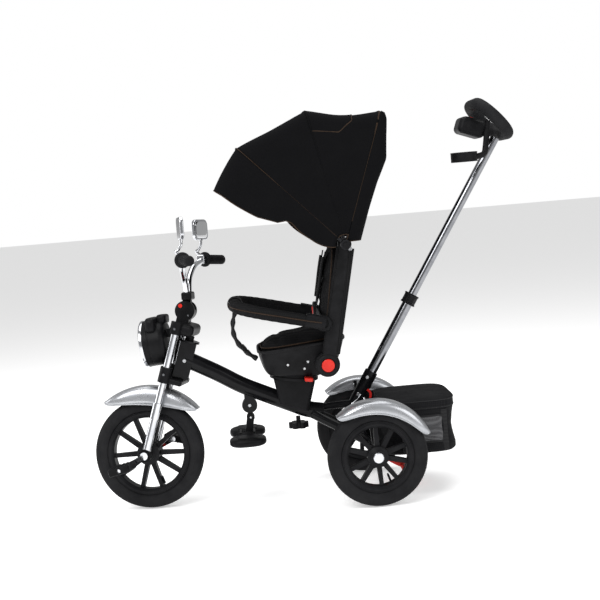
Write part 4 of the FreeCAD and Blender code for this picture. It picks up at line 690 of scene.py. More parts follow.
# the cloth's outer reach and half width at an angle
def hoopAt(angle):
    stations = canopyDesign["angles"]
    k = 0 if angle <= stations[1] else 1 if angle <= stations[2] else 2
    share = min(max((angle - stations[k]) / (stations[k + 1] - stations[k]), 0), 1)
    dip = math.sin(math.pi * share)
    reach = mix(canopyDesign["reach"][k], canopyDesign["reach"][k + 1], share) - canopyDesign["sag"][k] * dip
    half = mix(canopyDesign["half"][k], canopyDesign["half"][k + 1], share)
    return reach, half, dip * canopyDesign["sag"][k] / 25


# w runs from -1 at the left lower edge, over the roof, to 1 at the right lower edge
def sectionAt(reach, half, w):
    shoulder = canopyDesign["shoulder"]
    flat = half - shoulder
    bend = shoulder * math.pi / 2
    wall = reach - shoulder - canopyDesign["inner"]
    run = abs(w) * (flat + bend + wall)
    if run < flat:
        out, across = reach + canopyDesign["crown"] * (1 - (run / flat) ** 2), run
    elif run < flat + bend:
        angle = (run - flat) / shoulder
        out, across = reach - shoulder + shoulder * math.cos(angle), flat + shoulder * math.sin(angle)
    else:
        out, across = reach - shoulder - (run - flat - bend), half
    return out, math.copysign(across, w)


def canopyPoint(angle, w, lift=0.0):
    reach, half, dip = hoopAt(angle)
    out, across = sectionAt(reach, half, w)
    wall = min(max((reach - canopyDesign["shoulder"] - out) / 120, 0), 1)
    pull = dip * 5.0 * wall * min(out / 180, 1)
    slope = math.radians(angle)
    wave = ripple((out / 1000, across / 1000, angle / 90), 9.0) * canopyDesign["wrinkle"] * dip
    out += lift * (1 - wall)
    across -= math.copysign(pull + wave - lift * wall, across)
    reach = out + wave * 0.6
    return canopyHinge + Vector((math.cos(slope) * reach, across, math.sin(slope) * reach)) * 0.001


def clothPanel(start, end, rows, shaped=False):
    def place(u, v):
        angle = mix(start, end, v)
        if shaped:
            reach, half, _ = hoopAt(start)
            out, _ = sectionAt(reach, half, 2 * u - 1)
            angle = mix(start, lookUp(lowEdge, out), v)
        return canopyPoint(angle, 2 * u - 1)
    return surface(120, rows, place, (1.05, 0.2 * (end - start) / 30))


def crestAt(angle):
    reach, _, _ = hoopAt(angle)
    slope = math.radians(angle)
    return canopyHinge + Vector((math.cos(slope) * reach, 0, math.sin(slope) * reach)) * 0.001


angles = canopyDesign["angles"]
rearPanel = piece("canopyRearPanel", clothPanel(angles[0], angles[1], 26), "canopyCloth",
                  thickness=canopyDesign["cloth"], crease=60)
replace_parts(rearPanel, "canopy_rear")
frontPanel = piece("canopyFrontPanel", clothPanel(angles[1], angles[2], 26), "canopyCloth",
                   thickness=canopyDesign["cloth"], crease=60)
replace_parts(frontPanel, "canopy_front")
visor = piece("canopyVisor", clothPanel(angles[2], angles[3], 18, True), "canopyCloth",
              "canopy_tip", thickness=canopyDesign["cloth"], crease=60)
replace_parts(visor, "canopy_visor")
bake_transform(rearPanel)
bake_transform(frontPanel)


# the curtain behind the rear bow: a U in plan at each height
def curtainPoint(u, v):
    height = mix(1010.5, 686.0, v ** 1.15)
    front = 117 + (height - 678) / math.tan(math.radians(angles[0]))
    rear = lookUp(sorted(backLine), height)
    depth = max(rear - front, 0.5)
    half = canopyDesign["half"][0]
    corner = min(34.0, depth)
    side = depth - corner
    bend = corner * math.pi / 2
    total = side + bend + half - corner
    run = abs(2 * u - 1) * total
    if run < half - corner:
        x, y = rear, run
    elif run < half - corner + bend:
        angle = (run - half + corner) / corner
        x, y = rear - corner + corner * math.cos(angle), half - corner + corner * math.sin(angle)
    else:
        x, y = front + side - (run - half + corner - bend), half
    wave = ripple((x / 1000, y / 1000, height / 1000), 10.0) * 2.2 * min(v * 4, 1) * min((1 - v) * 4, 1)
    return Vector((x + wave, math.copysign(y - 1.2, 2 * u - 1), height)) * 0.001


curtain = piece("canopyCurtain", surface(96, 44, curtainPoint, (0.5, 0.33)), "canopyCloth", "backrest",
                thickness=canopyDesign["cloth"], crease=60)


# cords and stitch lines on the cloth
def seamCord(name, line, finishName, radius, body=None, blendTo=None, flat=1.0):
    section = roundSection(radius) if flat == 1.0 else ovalSection(2 * radius * flat, 2 * radius)
    item = piece(name, sweep(line, section, 8, up=Vector((0.31, 0.22, 0.9))), finishName, body)
    if blendTo:
        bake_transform(item)
    return item


def hoopLine(angle, low, lift, count=90):
    return [canopyPoint(angle, mix(-low, low, i / count), lift) for i in range(count + 1)]


blendRear = ("backrest", "canopy_mid", crestAt(angles[0] + 2), crestAt(angles[1] - 2))
seamCord("seamRearBow", hoopLine(angles[0] + 0.2, 0.93, 1.2), "threadBrown", 0.0011, "backrest", flat=2.2)
seamCord("seamMidBow", hoopLine(angles[1], 0.97, 1.0), "canopyCloth", 0.0022, "canopy_mid")
seamCord("seamFrontBow", hoopLine(angles[2], 0.99, 1.3), "threadBrown", 0.001, "canopy_tip", flat=2.2)
hem = []
for i in range(121):
    w = mix(-1, 1, i / 120)
    reach, half, _ = hoopAt(angles[2])
    out, _ = sectionAt(reach, half, w)
    hem.append(canopyPoint(lookUp(lowEdge, out), w, 0.4))
seamCord("visorHem", hem, "pipingCord", 0.0015, "canopy_tip")


# the peek-window flap over the roof between the rear and middle bows
flapEdge = [(0.0, 82.5), (0.4, 82.6), (0.421, 84.9), (0.45, 87.7), (0.46, 89.0)]


def flapPoint(u, v):
    w = mix(-0.46, 0.46, u)
    return canopyPoint(mix(angles[1], lookUp(flapEdge, abs(w)), v), w, 2.0)


flap = piece("peekFlap", surface(160, 16, flapPoint, (0.5, 0.1)), "canopyCloth", thickness=0.0012, crease=60)
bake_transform(flap)
hem = [flapPoint(0, i / 12) for i in range(12)] + [flapPoint(i / 120, 1) for i in range(121)]
hem += [flapPoint(1, 1 - i / 12) for i in range(1, 13)]
seamCord("flapHem", [Vector(p) for p in hem], "pipingCord", 0.0014, blendTo=blendRear)
innerEdge = [canopyPoint(mix(angles[0], angles[1], i / 20), -1, 0.5) for i in range(21)]
for side, way in sideWays.items():
    low = [Vector((p.x, way * abs(p.y), p.z)) for p in innerEdge]
    back = [Vector(curtainPoint(0.5 + way * 0.5 * (1 - i / 14 * 0.12), 1.0)) for i in range(15)]
    front = [canopyPoint(mix(angles[2], angles[1], i / 16), way, 0.5) for i in range(17)]
    seamCord(f"archPiping{side.title()}", back[::-1] + low, "pipingCord", 0.0013, "backrest")
    seamCord(f"archPipingFront{side.title()}", front, "pipingCord", 0.0013, "canopy_mid")
seamCord("curtainHem", [Vector(curtainPoint(i / 60, 1.0)) for i in range(61)], "pipingCord", 0.0013, "backrest")

# the bows inside the cloth
bowDesign = {"radius": 0.004}


def makeBow(name, angle, reach, half, body, node):
    slope = math.radians(angle)
    out = Vector((math.cos(slope), 0, math.sin(slope)))
    bend = 26.0
    line = []
    for way in (-1, 1):
        leg = [(15.0, half), (reach * 0.35, half), (reach * 0.7, half), (reach - bend, half)]
        leg += [(reach - bend + bend * math.sin(math.radians(t)), half - bend + bend * math.cos(math.radians(t)))
                for t in (15, 30, 45, 60, 75)]
        leg.append((reach, half - bend))
        leg.append((reach, 60.0))
        side = [canopyHinge + (out * far + Vector((0, way * wide, 0))) * 0.001 for far, wide in leg]
        line += side if way < 0 else side[::-1]
    mesh = sweep(line, roundSection(bowDesign["radius"]), 14, up=out.cross(Vector((0, 1, 0))))
    for way in (-1, 1):
        eye = [(0.0075, -0.004), (0.012, -0.004), (0.013, -0.003), (0.013, 0.003), (0.012, 0.004),
               (0.0075, 0.004), (0.0075, -0.004)]
        join(mesh, lathe(eye, 32, laidOut(canopyHinge + Vector((0, way * half * 0.001, 0)), (0, way, 0))))
    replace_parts(piece(name, mesh, "bowSteel", body), node)


# padded cloth sleeves over the backrest's side arms
sleeveDesign = {"wide": 0.047, "thick": 0.0165, "low": 0.1, "high": 0.97, "side": 0.1457}
sleeves = bmesh.new()
for way in (-1, 1):
    line = [seatHinge.lerp(canopyHinge, mix(sleeveDesign["low"], sleeveDesign["high"], i / 8)) for i in range(9)]
    line = [Vector((p.x + 0.004, way * sleeveDesign["side"], p.z)) for p in line]
    join(sleeves, sweep(smoothPath(line, 5), ovalSection(sleeveDesign["wide"], sleeveDesign["thick"], 4), 28,
                        up=Vector((0, 1, 0))))
armSleeves = piece("armSleeves", sleeves, "seatCloth", "backrest")
makeBow("bowMid", angles[1], canopyDesign["reach"][1] - 6.5, 185.0, "canopy_mid", "mid_bow")
makeBow("bowFront", angles[2], canopyDesign["reach"][2] - 6.5, 193.5, "canopy_tip", "front_bow")
mesh = bmesh.new()
for way in (-1, 1):
    join(mesh, bolt(canopyHinge + Vector((0.013, way * 0.1555, -0.013)), (0, way, 0), 0.006, 0.004))
    join(mesh, bolt(seatHinge + Vector((-0.051, way * 0.1315, 0.012)), (0, way, 0), 0.0035, 0.002, False))
    join(mesh, bolt(barPivot + Vector((0, way * 0.1712, 0)), (0, way, 0), 0.0055, 0.003))
piece("backrestBolts", mesh, "boltSteel", "backrest")
print("canopy ready")


# padded pieces

# air pressure swells a pad; no point moves further than the cap
def inflate(item, voxel, pressure, cap):
    scene = bpy.context.scene
    even = item.modifiers.new("even", "REMESH")
    even.mode = "VOXEL"
    even.voxel_size = voxel
    graph = bpy.context.evaluated_depsgraph_get()
    data = bpy.data.meshes.new_from_object(item.evaluated_get(graph))
    item.modifiers.clear()
    item.data = data
    if not data.materials:
        data.materials.append(materials["seatCloth"])
    start = [v.co.copy() for v in data.vertices]
    cloth = item.modifiers.new("air", "CLOTH")
    cloth.settings.use_pressure = True
    cloth.settings.uniform_pressure_force = pressure
    cloth.settings.effector_weights.gravity = 0
    cloth.point_cache.frame_end = 20
    for number in range(1, 21):
        scene.frame_set(number)
    swollen = item.evaluated_get(bpy.context.evaluated_depsgraph_get()).to_mesh()
    ends = [v.co.copy() for v in swollen.vertices]
    item.modifiers.clear()
    for vert, a, b in zip(item.data.vertices, start, ends):
        move = b - a
        if move.length > cap:
            move *= cap / move.length
        vert.co = a + move
    item.data.polygons.foreach_set("use_smooth", [True] * len(item.data.polygons))
    scene.frame_set(1)


# press sewn lines into a pad: each rule gives a point's distance from a line
def sewn(item, lines, depth, width, inward):
    for vert in item.data.vertices:
        for line in lines:
            away = line(vert.co)
            if away < 3 * width:
                vert.co += inward(vert.co) * depth * math.exp(-(away / width) ** 2)


seatDesign = {"size": (0.196, 0.226, 0.066), "power": 3.4, "tilt": -5.0, "voxel": 0.005, "pressure": 4.0,
              "cap": 0.007, "channel": 0.0045, "channelWidth": 0.006}
seatPlace = Matrix.Translation((-0.0215, 0, 0.4135)) @ Matrix.Rotation(math.radians(seatDesign["tilt"]), 4, "Y")
cushionMesh = pillow(seatDesign["size"], seatDesign["power"], 15, seatPlace)
for vert in cushionMesh.verts:
    local = seatPlace.inverted() @ vert.co
    if local.z > 0:
        vert.co.z += 0.006 * math.exp(-((local.x - 0.07) / 0.04) ** 2) - 0.004 * math.exp(
            -(local.x / 0.06) ** 2 - (local.y / 0.07) ** 2)
cushion = piece("seatPad", cushionMesh, "seatCloth", "seat")
inflate(cushion, seatDesign["voxel"], seatDesign["pressure"], seatDesign["cap"])
sewn(cushion, [lambda p: abs(abs(p.y) - 0.055) + max(0, 0.43 - p.z) * 4,
               lambda p: abs(p.x + 0.075) + max(0, 0.42 - p.z) * 4],
     seatDesign["channel"], seatDesign["channelWidth"], lambda p: Vector((0, 0, -1)))
rounding = cushion.modifiers.new("rounding", "SUBSURF")
rounding.levels = rounding.render_levels = 1
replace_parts(cushion, "seat_cushion")
ring = squaredRing(96, seatDesign["power"], lambda c, s: seatPlace @ Vector((0.1005 * c, 0.116 * s, 0.012)))
piece("seatPadPiping", sweep(ring, roundSection(0.0018), 8, up=Vector((0, 0, 1)), closed=True), "pipingCord",
      "seat")

backDesign = {"size": (0.046, 0.228, 0.212), "power": 3.8, "tilt": 9.2, "voxel": 0.005, "pressure": 4.0,
              "cap": 0.007, "channel": 0.004, "channelWidth": 0.006}
backPlace = Matrix.Translation((0.0835, 0, 0.5625)) @ Matrix.Rotation(math.radians(backDesign["tilt"]), 4, "Y")
backPad = piece("backPad", pillow(backDesign["size"], backDesign["power"], 15, backPlace), "seatCloth",
                "backrest")
inflate(backPad, backDesign["voxel"], backDesign["pressure"], backDesign["cap"])
sewn(backPad, [lambda p: abs(p.z - 0.52) + max(0, p.x - 0.075) * 4, lambda p: abs(p.z - 0.585) + max(
    0, p.x - 0.085) * 4, lambda p: abs(abs(p.y) - 0.078) + max(0, p.x - 0.08) * 4],
     backDesign["channel"], backDesign["channelWidth"], lambda p: Vector((1, 0, 0)))
rounding = backPad.modifiers.new("rounding", "SUBSURF")
rounding.levels = rounding.render_levels = 1
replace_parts(backPad, "backrest_cushion")
ring = squaredRing(96, 4, lambda c, s: backPlace @ Vector((-0.0125, 0.117 * c, 0.109 * s)))
piece("backPadPiping", sweep(ring, roundSection(0.0018), 8, up=Vector((1, 0, 0.1)), closed=True), "pipingCord",
      "backrest")
print("pads ready")

# harness: shoulder straps with pads, a waist belt and a buckle
harnessDesign = {"width": 0.026, "thickness": 0.0022, "padWidth": 0.044, "padThickness": 0.007}


# the backrest's front face, and what lies out from it
def faceAt(height, out):
    return 0.047 + (height - 0.452) * 0.1622 - 0.008 - out


buckle = Vector((faceAt(0.5, 0.012), 0, 0.5))
mesh = bmesh.new()
pads = bmesh.new()
for way in (-1, 1):
    line = [Vector((faceAt(z, out), way * y, z)) for z, y, out in (
        (0.658, 0.05, 0.001), (0.62, 0.05, 0.0045), (0.58, 0.046, 0.0065), (0.54, 0.032, 0.009),
        (0.512, 0.014, 0.012))]
    join(mesh, sweep(smoothPath(line, 8), ovalSection(harnessDesign["width"], harnessDesign["thickness"], 6), 24,
                     up=Vector((-1, 0, 0.16))))
    padLine = smoothPath([p + Vector((-0.003, 0, 0)) for p in line[:4]], 8)
    join(pads, sweep(padLine[3:], ovalSection(harnessDesign["padWidth"], harnessDesign["padThickness"], 3.5), 24,
                     up=Vector((-1, 0, 0.16))))
    waist = [Vector((faceAt(z, out), way * y, z)) for z, y, out in (
        (0.478, 0.108, 0.0005), (0.484, 0.08, 0.0045), (0.492, 0.045, 0.008), (0.497, 0.016, 0.012))]
    join(mesh, sweep(smoothPath(waist, 8), ovalSection(harnessDesign["width"], harnessDesign["thickness"], 6), 24,
                     up=Vector((-1, 0, 0.16))))
straps = piece("harnessStraps", mesh, "strapWeb", "backrest")
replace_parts(straps, "harness")
harnessPads = piece("harnessPads", pads, "seatCloth", "backrest")
mesh = pillow((0.014, 0.05, 0.046), 4.5, 7, Matrix.Translation(buckle))
piece("harnessBuckle", mesh, "blackMoulding", "backrest")
release = pillow((0.005, 0.022, 0.022), 4, 5, Matrix.Translation(buckle + Vector((-0.0065, 0, 0))))
piece("harnessRelease", release, "redMoulding", "backrest")

# safety bar: a padded hoop with its piping and end brackets
barDesign = {"width": 0.03, "height": 0.031, "power": 2.4, "swell": 0.0025}
barLine = [(0.040, 0.164, 0.4805), (0.0, 0.164, 0.4895), (-0.05, 0.164, 0.502), (-0.095, 0.161, 0.5132),
           (-0.133, 0.148, 0.5227), (-0.163, 0.12, 0.5302), (-0.177, 0.082, 0.5337), (-0.181, 0.04, 0.5346),
           (-0.181, 0.0, 0.5346)]
barLine = [Vector(p) for p in barLine]
whole = [Vector((p.x, -p.y, p.z)) for p in barLine] + barLine[-2::-1]
barPath = smoothPath(whole, 10)


def barSection(v, angle):
    swell = barDesign["swell"] * math.sin(math.pi * v) + 0.0006 * math.sin(v * 190)
    reach = ovalSection(barDesign["width"] + swell, barDesign["height"] + swell, barDesign["power"])
    return reach(v, angle)


barPad = piece("safetyBarPad", sweep(barPath, barSection, 28), "seatCloth", "safety_bar")
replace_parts(barPad, "safety_bar")
outward = []
for i, point in enumerate(barPath):
    way = barPath[min(i + 1, len(barPath) - 1)] - barPath[max(i - 1, 0)]
    side = way.cross(Vector((0, 0, 1))).normalized()
    outward.append(point + side * (barDesign["width"] / 2 + 0.0012) * (-1) + Vector((0, 0, 0.001)))
piece("safetyBarPiping", sweep(outward, roundSection(0.0015), 8), "pipingCord", "safety_bar")
mesh = bmesh.new()
for way in (-1, 1):
    hub = [(0, -0.006), (0.0205, -0.006), (0.0215, -0.004), (0.0215, 0.006), (0.0195, 0.0095),
           (0.012, 0.0105), (0.011, 0.0085), (0, 0.0085)]
    join(mesh, lathe(hub, 40, laidOut(barPivot + Vector((0, way * 0.1625, 0)), (0, way, 0))))
    join(mesh, sweep(smoothPath([barPivot + Vector((0.004, way * 0.164, 0.0)), barPivot + Vector(
        (-0.018, way * 0.164, 0.006)), barPivot + Vector((-0.046, way * 0.164, 0.0135))], 6),
        ovalSection(0.031, 0.036, 3), 24))
piece("safetyBarBrackets", mesh, "blackMoulding", "safety_bar")

# the crotch strap and its loop round the bar
strapDesign = {"width": 0.04, "thickness": 0.0115}
strapLine = [(-0.181, 0.0, 0.5165), (-0.19, 0.0, 0.49), (-0.192, 0.0, 0.457), (-0.18, 0.0, 0.425),
             (-0.157, 0.0, 0.399), (-0.1345, 0.0, 0.381)]
strapMesh = sweep(smoothPath(strapLine, 10), lambda v, angle: ovalSection(
    strapDesign["width"], strapDesign["thickness"] * (1 + 0.22 * math.sin(v * 34)), 3)(v, angle), 28,
    up=Vector((-1, 0, 0.1)))
loop = [Vector((-0.181 + 0.0195 * math.cos(t * math.pi / 18), 0, 0.5346 + 0.0195 * math.sin(t * math.pi / 18)))
        for t in range(37)]
join(strapMesh, sweep(loop, ovalSection(0.003, strapDesign["width"], 5), 24, up=Vector((0, 1, 0)), closed=True))
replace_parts(piece("crotchStrap", strapMesh, "strapWeb", "safety_bar"), "crotch_strap")
mesh = pillow((0.012, 0.046, 0.02), 4.5, 6, Matrix.Translation((-0.168, 0, 0.4135)) @ Matrix.Rotation(
    math.radians(-38), 4, "Y"))
piece("crotchSlider", mesh, "blackMoulding", "safety_bar")
print("harness and bar ready")


# seat shell: a smooth tub on its swivel, with a rim bead, collar, pivot rings and screws

shellDesign = {"length": 0.233, "width": 0.259, "corner": 5.0, "collar": 0.066}
shellTop = Vector((-0.0144, 0, 0.418))
tilt = Matrix.Rotation(math.radians(-5), 4, "Y")
halfLong, halfWide = shellDesign["length"] / 2, shellDesign["width"] / 2
ring = squaredRing(120, shellDesign["corner"],
                   lambda c, s: shellTop + tilt @ Vector((halfLong * c, halfWide * s, 0)))
piece("shellRim", sweep(ring, ovalSection(0.0062, 0.0075, 2.4), 12, up=Vector((0, 0, 1)), closed=True),
      "shellMoulding", "seat")
swivelWay = (math.sin(math.radians(7.5)), 0, math.cos(math.radians(7.5)))
c = shellDesign["collar"]
bowlDesign = {"foot": (0.0915, 0.087), "centre": (-0.0225, 0.3355), "fall": 2.8,
              "belly": 0.003}
footPlace = Matrix.Translation((bowlDesign["centre"][0], 0, bowlDesign["centre"][1])) @ Matrix.Rotation(
    math.radians(bowlDesign["fall"]), 4, "Y")
topPlace = Matrix.Translation(shellTop) @ tilt


def bowlPoint(u, v):
    c, s = squared(2 * math.pi * u, shellDesign["corner"])
    down = min(v / 0.72, 1)
    shrink = (1 - 0.09 * down ** 7) * min((1 - v) / 0.28, 1)
    out = 1 + bowlDesign["belly"] / 0.12 * math.sin(math.pi * down)
    high = topPlace @ Vector((halfLong * c * out, halfWide * s * out, 0))
    low = footPlace @ Vector((bowlDesign["foot"][0] * c * shrink, bowlDesign["foot"][1] * s * shrink, 0))
    return high.lerp(low, down)


tub = surface(144, 40, bowlPoint)
for way in (-1, 1):
    pod = [(0, -0.036), (0.031, -0.036), (0.0325, -0.034), (0.0325, -0.0015), (0.031, 0), (0, 0)]
    join(tub, lathe(pod, 56, laidOut(seatHinge + Vector((0, way * 0.1385, 0)), (0, way, 0))))
join(tub, lathe([(0, 0.0008), (0.06, 0.0008), (0.062, 0.0028), (0.062, 0.0215), (0, 0.0215)], 72,
                laidOut((-0.039, 0, 0.318), swivelWay)))
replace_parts(piece("seatTub", tub, "shellMoulding", "seat", crease=50), "seat_shell")
steps = [(c - 0.006, 0.0015), (c - 0.001, 0.0015), (c, 0.003), (c, 0.0085), (c - 0.002, 0.010),
         (c - 0.002, 0.0125), (c + 0.0035, 0.0145), (c + 0.0035, 0.0215), (c + 0.001, 0.024), (c - 0.006, 0.024), (c - 0.006, 0.0015)]
piece("swivelCollar", lathe(steps, 72, laidOut((-0.039, 0, 0.318), swivelWay)), "shellMoulding", "seat")
rings = bmesh.new()
screws = bmesh.new()
for way in (-1, 1):
    hub = seatHinge + Vector((0, way * 0.1385, 0))
    pivotRing = [(0.0185, 0.0145), (0.0185, 0.0178), (0.0205, 0.0192), (0.0265, 0.0188), (0.029, 0.0165),
                 (0.03, 0.0125), (0.0185, 0.0145)]
    join(rings, lathe(pivotRing, 56, laidOut(hub, (0, way, 0))))
    for x, z in ((-0.055, 0.372), (-0.012, 0.358)):
        reach = 0.1295 - (0.418 - z) * 0.30
        join(screws, bolt((x, way * (reach + 0.0015), z), (0, way, 0), 0.0036, 0.0022, False))
piece("pivotRings", rings, "shellMoulding", "backrest")
piece("shellScrews", screws, "boltSteel", "seat")

# bag: a sagging cloth tub with net panels, straps and a zipped lid

bagDesign = {
    "centre": 0.2785, "long": 0.103, "wide": 0.1465, "corner": 4.5, "top": 0.2262, "bottom": 0.109,
    "levels": [(0.109, 0.94), (0.114, 0.985), (0.125, 0.995), (0.145, 0.96), (0.175, 0.905), (0.2, 0.94),
               (0.2262, 0.985)],
    "net": (0.138, 0.207, 0.252, 0.338),
}


def bagOutline(angle, share):
    c, s = squared(angle, bagDesign["corner"])
    return bagDesign["centre"] + bagDesign["long"] * c * share, bagDesign["wide"] * s * share


# a point just outside the bag's long side
def bagSide(x, way, height):
    share = lookUp(bagDesign["levels"], height)
    c = max(min((x - bagDesign["centre"]) / (bagDesign["long"] * share), 0.999), -0.999)
    y = bagDesign["wide"] * share * (1 - abs(c) ** bagDesign["corner"]) ** (1 / bagDesign["corner"])
    return Vector((x, way * (y + 0.0012), height))


def bagPoint(u, v):
    angle = 2 * math.pi * u
    if v < 0.8:
        z = mix(bagDesign["top"], bagDesign["bottom"], v / 0.8)
        share = lookUp(bagDesign["levels"], z)
        x, y = bagOutline(angle, share)
        x = max(x, 0.1848)
        crease = ripple((x, y, z), 26.0) * 0.003 * math.sin(math.pi * v / 0.8)
        return Vector((x + crease * math.cos(angle), y + crease * math.sin(angle), z))
    share = (1 - v) / 0.2
    x, y = bagOutline(angle, 0.93 * share)
    return Vector((max(x, 0.1848), y, bagDesign["bottom"] + 0.0005 + 0.0012 * share))


bagMesh = surface(144, 50, bagPoint)
bag = piece("bagTub", bagMesh, "bagCloth", "frame", crease=70)
bag.data.materials.append(materials["bagNet"])
low, high, near, far = bagDesign["net"]
for face in bag.data.polygons:
    x, y, z = face.center
    if low < z < high and near < x < far and abs(y) > 0.08:
        face.material_index = 1
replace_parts(bag, "bag_body")
cords = bmesh.new()
for way in (-1, 1):
    for height in (low, high):
        line = []
        for i in range(25):
            line.append(bagSide(mix(near, far, i / 24), way, height))
        join(cords, sweep(line, ovalSection(0.003, 0.005, 3), 10))
piece("bagNetBinding", cords, "strapWeb", "frame")
mesh = bmesh.new()
for way in (-1, 1):
    for x in (0.236, 0.344):
        line = []
        for i in range(15):
            line.append(bagSide(x, way, mix(0.222, 0.113, i / 14)))
        join(mesh, sweep(line, ovalSection(0.016, 0.002, 6), 20, up=Vector((0, way, 0))))
piece("bagStraps", mesh, "strapWeb", "frame")

lidDesign = {"low": 0.2272, "edge": 0.246, "crown": 0.2535, "share": 0.995}


def lidPoint(u, v):
    angle = 2 * math.pi * u
    if v < 0.5:
        share = v / 0.5
        z = lidDesign["crown"] - (lidDesign["crown"] - lidDesign["edge"] - 0.004) * share ** 2.4
        z += ripple((math.cos(angle) * share, math.sin(angle) * share, 0.3), 3.0) * 0.0015 * (1 - share)
        x, y = bagOutline(angle, 0.97 * share)
    elif v < 0.75:
        turn = (v - 0.5) / 0.25 * math.pi / 2
        share = 0.97 + 0.025 * math.sin(turn)
        x, y = bagOutline(angle, share)
        z = lidDesign["edge"] + 0.004 * math.cos(turn)
        if v > 0.68:
            z = mix(z, lidDesign["low"] + 0.001, (v - 0.68) / 0.07)
    else:
        x, y = bagOutline(angle, lidDesign["share"] * (1 - v) / 0.25)
        z = lidDesign["low"]
    return Vector((max(x, 0.1848), y, z))


lid = piece("bagLid", surface(144, 48, lidPoint), "bagCloth", "bag_lid", crease=70)
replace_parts(lid, "bag_lid")
ring = [Vector((*bagOutline(2 * math.pi * i / 120, 0.992), 0.2475)) for i in range(121)]
ring = [Vector((max(p.x, 0.1848), p.y, p.z)) for p in ring]
piece("lidPiping", sweep(ring, roundSection(0.0016), 8, closed=True), "strapWeb", "bag_lid")
ring = [Vector((max(p.x, 0.1848), p.y * 1.003, 0.2285)) for p in ring]
piece("lidZip", sweep(ring, ovalSection(0.0022, 0.0032, 4), 8, closed=True), "strapWeb", "bag_lid")

# the red strap and the wire latch at the foot of the push bar
strapLine = [(0.157, -0.02, 0.273), (0.163, -0.021, 0.267), (0.165, -0.021, 0.258), (0.163, -0.02, 0.249)]
piece("pushStrap", sweep(smoothPath(strapLine, 8), ovalSection(0.0065, 0.0024, 5), 20, up=Vector((0, -1, 0))),
      "redStrap", "frame")
mesh = bmesh.new()
for way in (-1, 1):
    wire = [(0.138, way * 0.019, 0.262), (0.128, way * 0.0235, 0.25), (0.112, way * 0.024, 0.238),
            (0.1, way * 0.022, 0.228), (0.094, way * 0.017, 0.222), (0.096, way * 0.013, 0.226)]
    join(mesh, sweep(smoothPath(wire, 8), roundSection(0.0022), 10))
    join(mesh, sweep(smoothPath([(0.146, way * 0.0195, 0.252), (0.15, way * 0.022, 0.24),
                                 (0.149, way * 0.0225, 0.222)], 6), ovalSection(0.007, 0.003, 4), 14))
piece("pushLatch", mesh, "brightChrome", "frame")
print("bag ready")


# push bar: foam ring with end seams, console face and lock collar

handleDesign = {"tube": 0.0168, "round": 0.056, "straight": 0.045, "grooves": 60, "groove": 0.0009}
handleCentre = Vector((0.5443, 0, 0.9737))
handlePlace = Matrix.Translation(handleCentre) @ Matrix.Rotation(math.radians(48), 4, "Y")
ringPath = []
r, s = handleDesign["round"], handleDesign["straight"]
for way in (1, -1):
    for i in range(20):
        ringPath.append(Vector((r * way, way * mix(-s, s, i / 20), 0)))
    for i in range(40):
        angle = math.pi * i / 40
        ringPath.append(Vector((way * r * math.cos(angle), way * (s + r * math.sin(angle)), 0)))
ringPath.append(ringPath[0].copy())
ringPath = [handlePlace @ p for p in ringPath]
handleUp = handlePlace.to_3x3() @ Vector((0, 0, 1))


def foamSection(v, angle):
    reach = handleDesign["tube"] - 0.0003
    if math.sin(v * 2 * math.pi * handleDesign["grooves"]) > 0.86:
        reach -= handleDesign["groove"]
    return reach * math.cos(angle), reach * math.sin(angle)


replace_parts(piece("pushFoam", sweep(ringPath, foamSection, 28, up=handleUp, closed=True), "gripFoam",
                  "push_bar"), "push_handle")
mesh = pillow((0.05, 0.07, 0.006), 5, 7, Matrix.Translation(handleCentre + Vector((-0.052, 0, -0.018)))
              @ Matrix.Rotation(math.radians(20), 4, "Y") @ Matrix.Translation((0, 0, 0.0225)))
piece("consoleFace", mesh, "shellMoulding", "push_bar")
mesh = pillow((0.016, 0.03, 0.006), 4, 5, Matrix.Translation(handleCentre + Vector((-0.056, 0, -0.018)))
              @ Matrix.Rotation(math.radians(20), 4, "Y") @ Matrix.Translation((0, 0, 0.0262)))
piece("consoleButton", mesh, "redMoulding", "push_bar")
pushWay = Vector((0.5358, 0, 0.8443))
mesh = bmesh.new()
for along, reach in ((0.0025, 0.0198), (0.0275, 0.0198)):
    ringProfile = [(0.0145, -0.0025), (reach, -0.0025), (reach + 0.0008, 0), (reach, 0.0025), (0.0145, 0.0025),
                   (0.0145, -0.0025)]
    join(mesh, lathe(ringProfile, 40, laidOut(Vector((0.28611, 0, 0.49474)) + pushWay * along, pushWay)))
piece("clampRings", mesh, "blackMoulding", "frame")
ringProfile = [(0.0305, -0.0008), (0.0352, -0.0008), (0.036, 0.001), (0.0345, 0.0026), (0.0315, 0.0026),
               (0.0305, -0.0008)]
cup = Vector((0.4563, -0.084, 0.8877))
piece("cupRim", lathe(ringProfile, 56, laidOut(cup, (0, 0, 1))), "blackMoulding", "push_bar")

# feet: rounded rest pads with ribs, and pedal treads

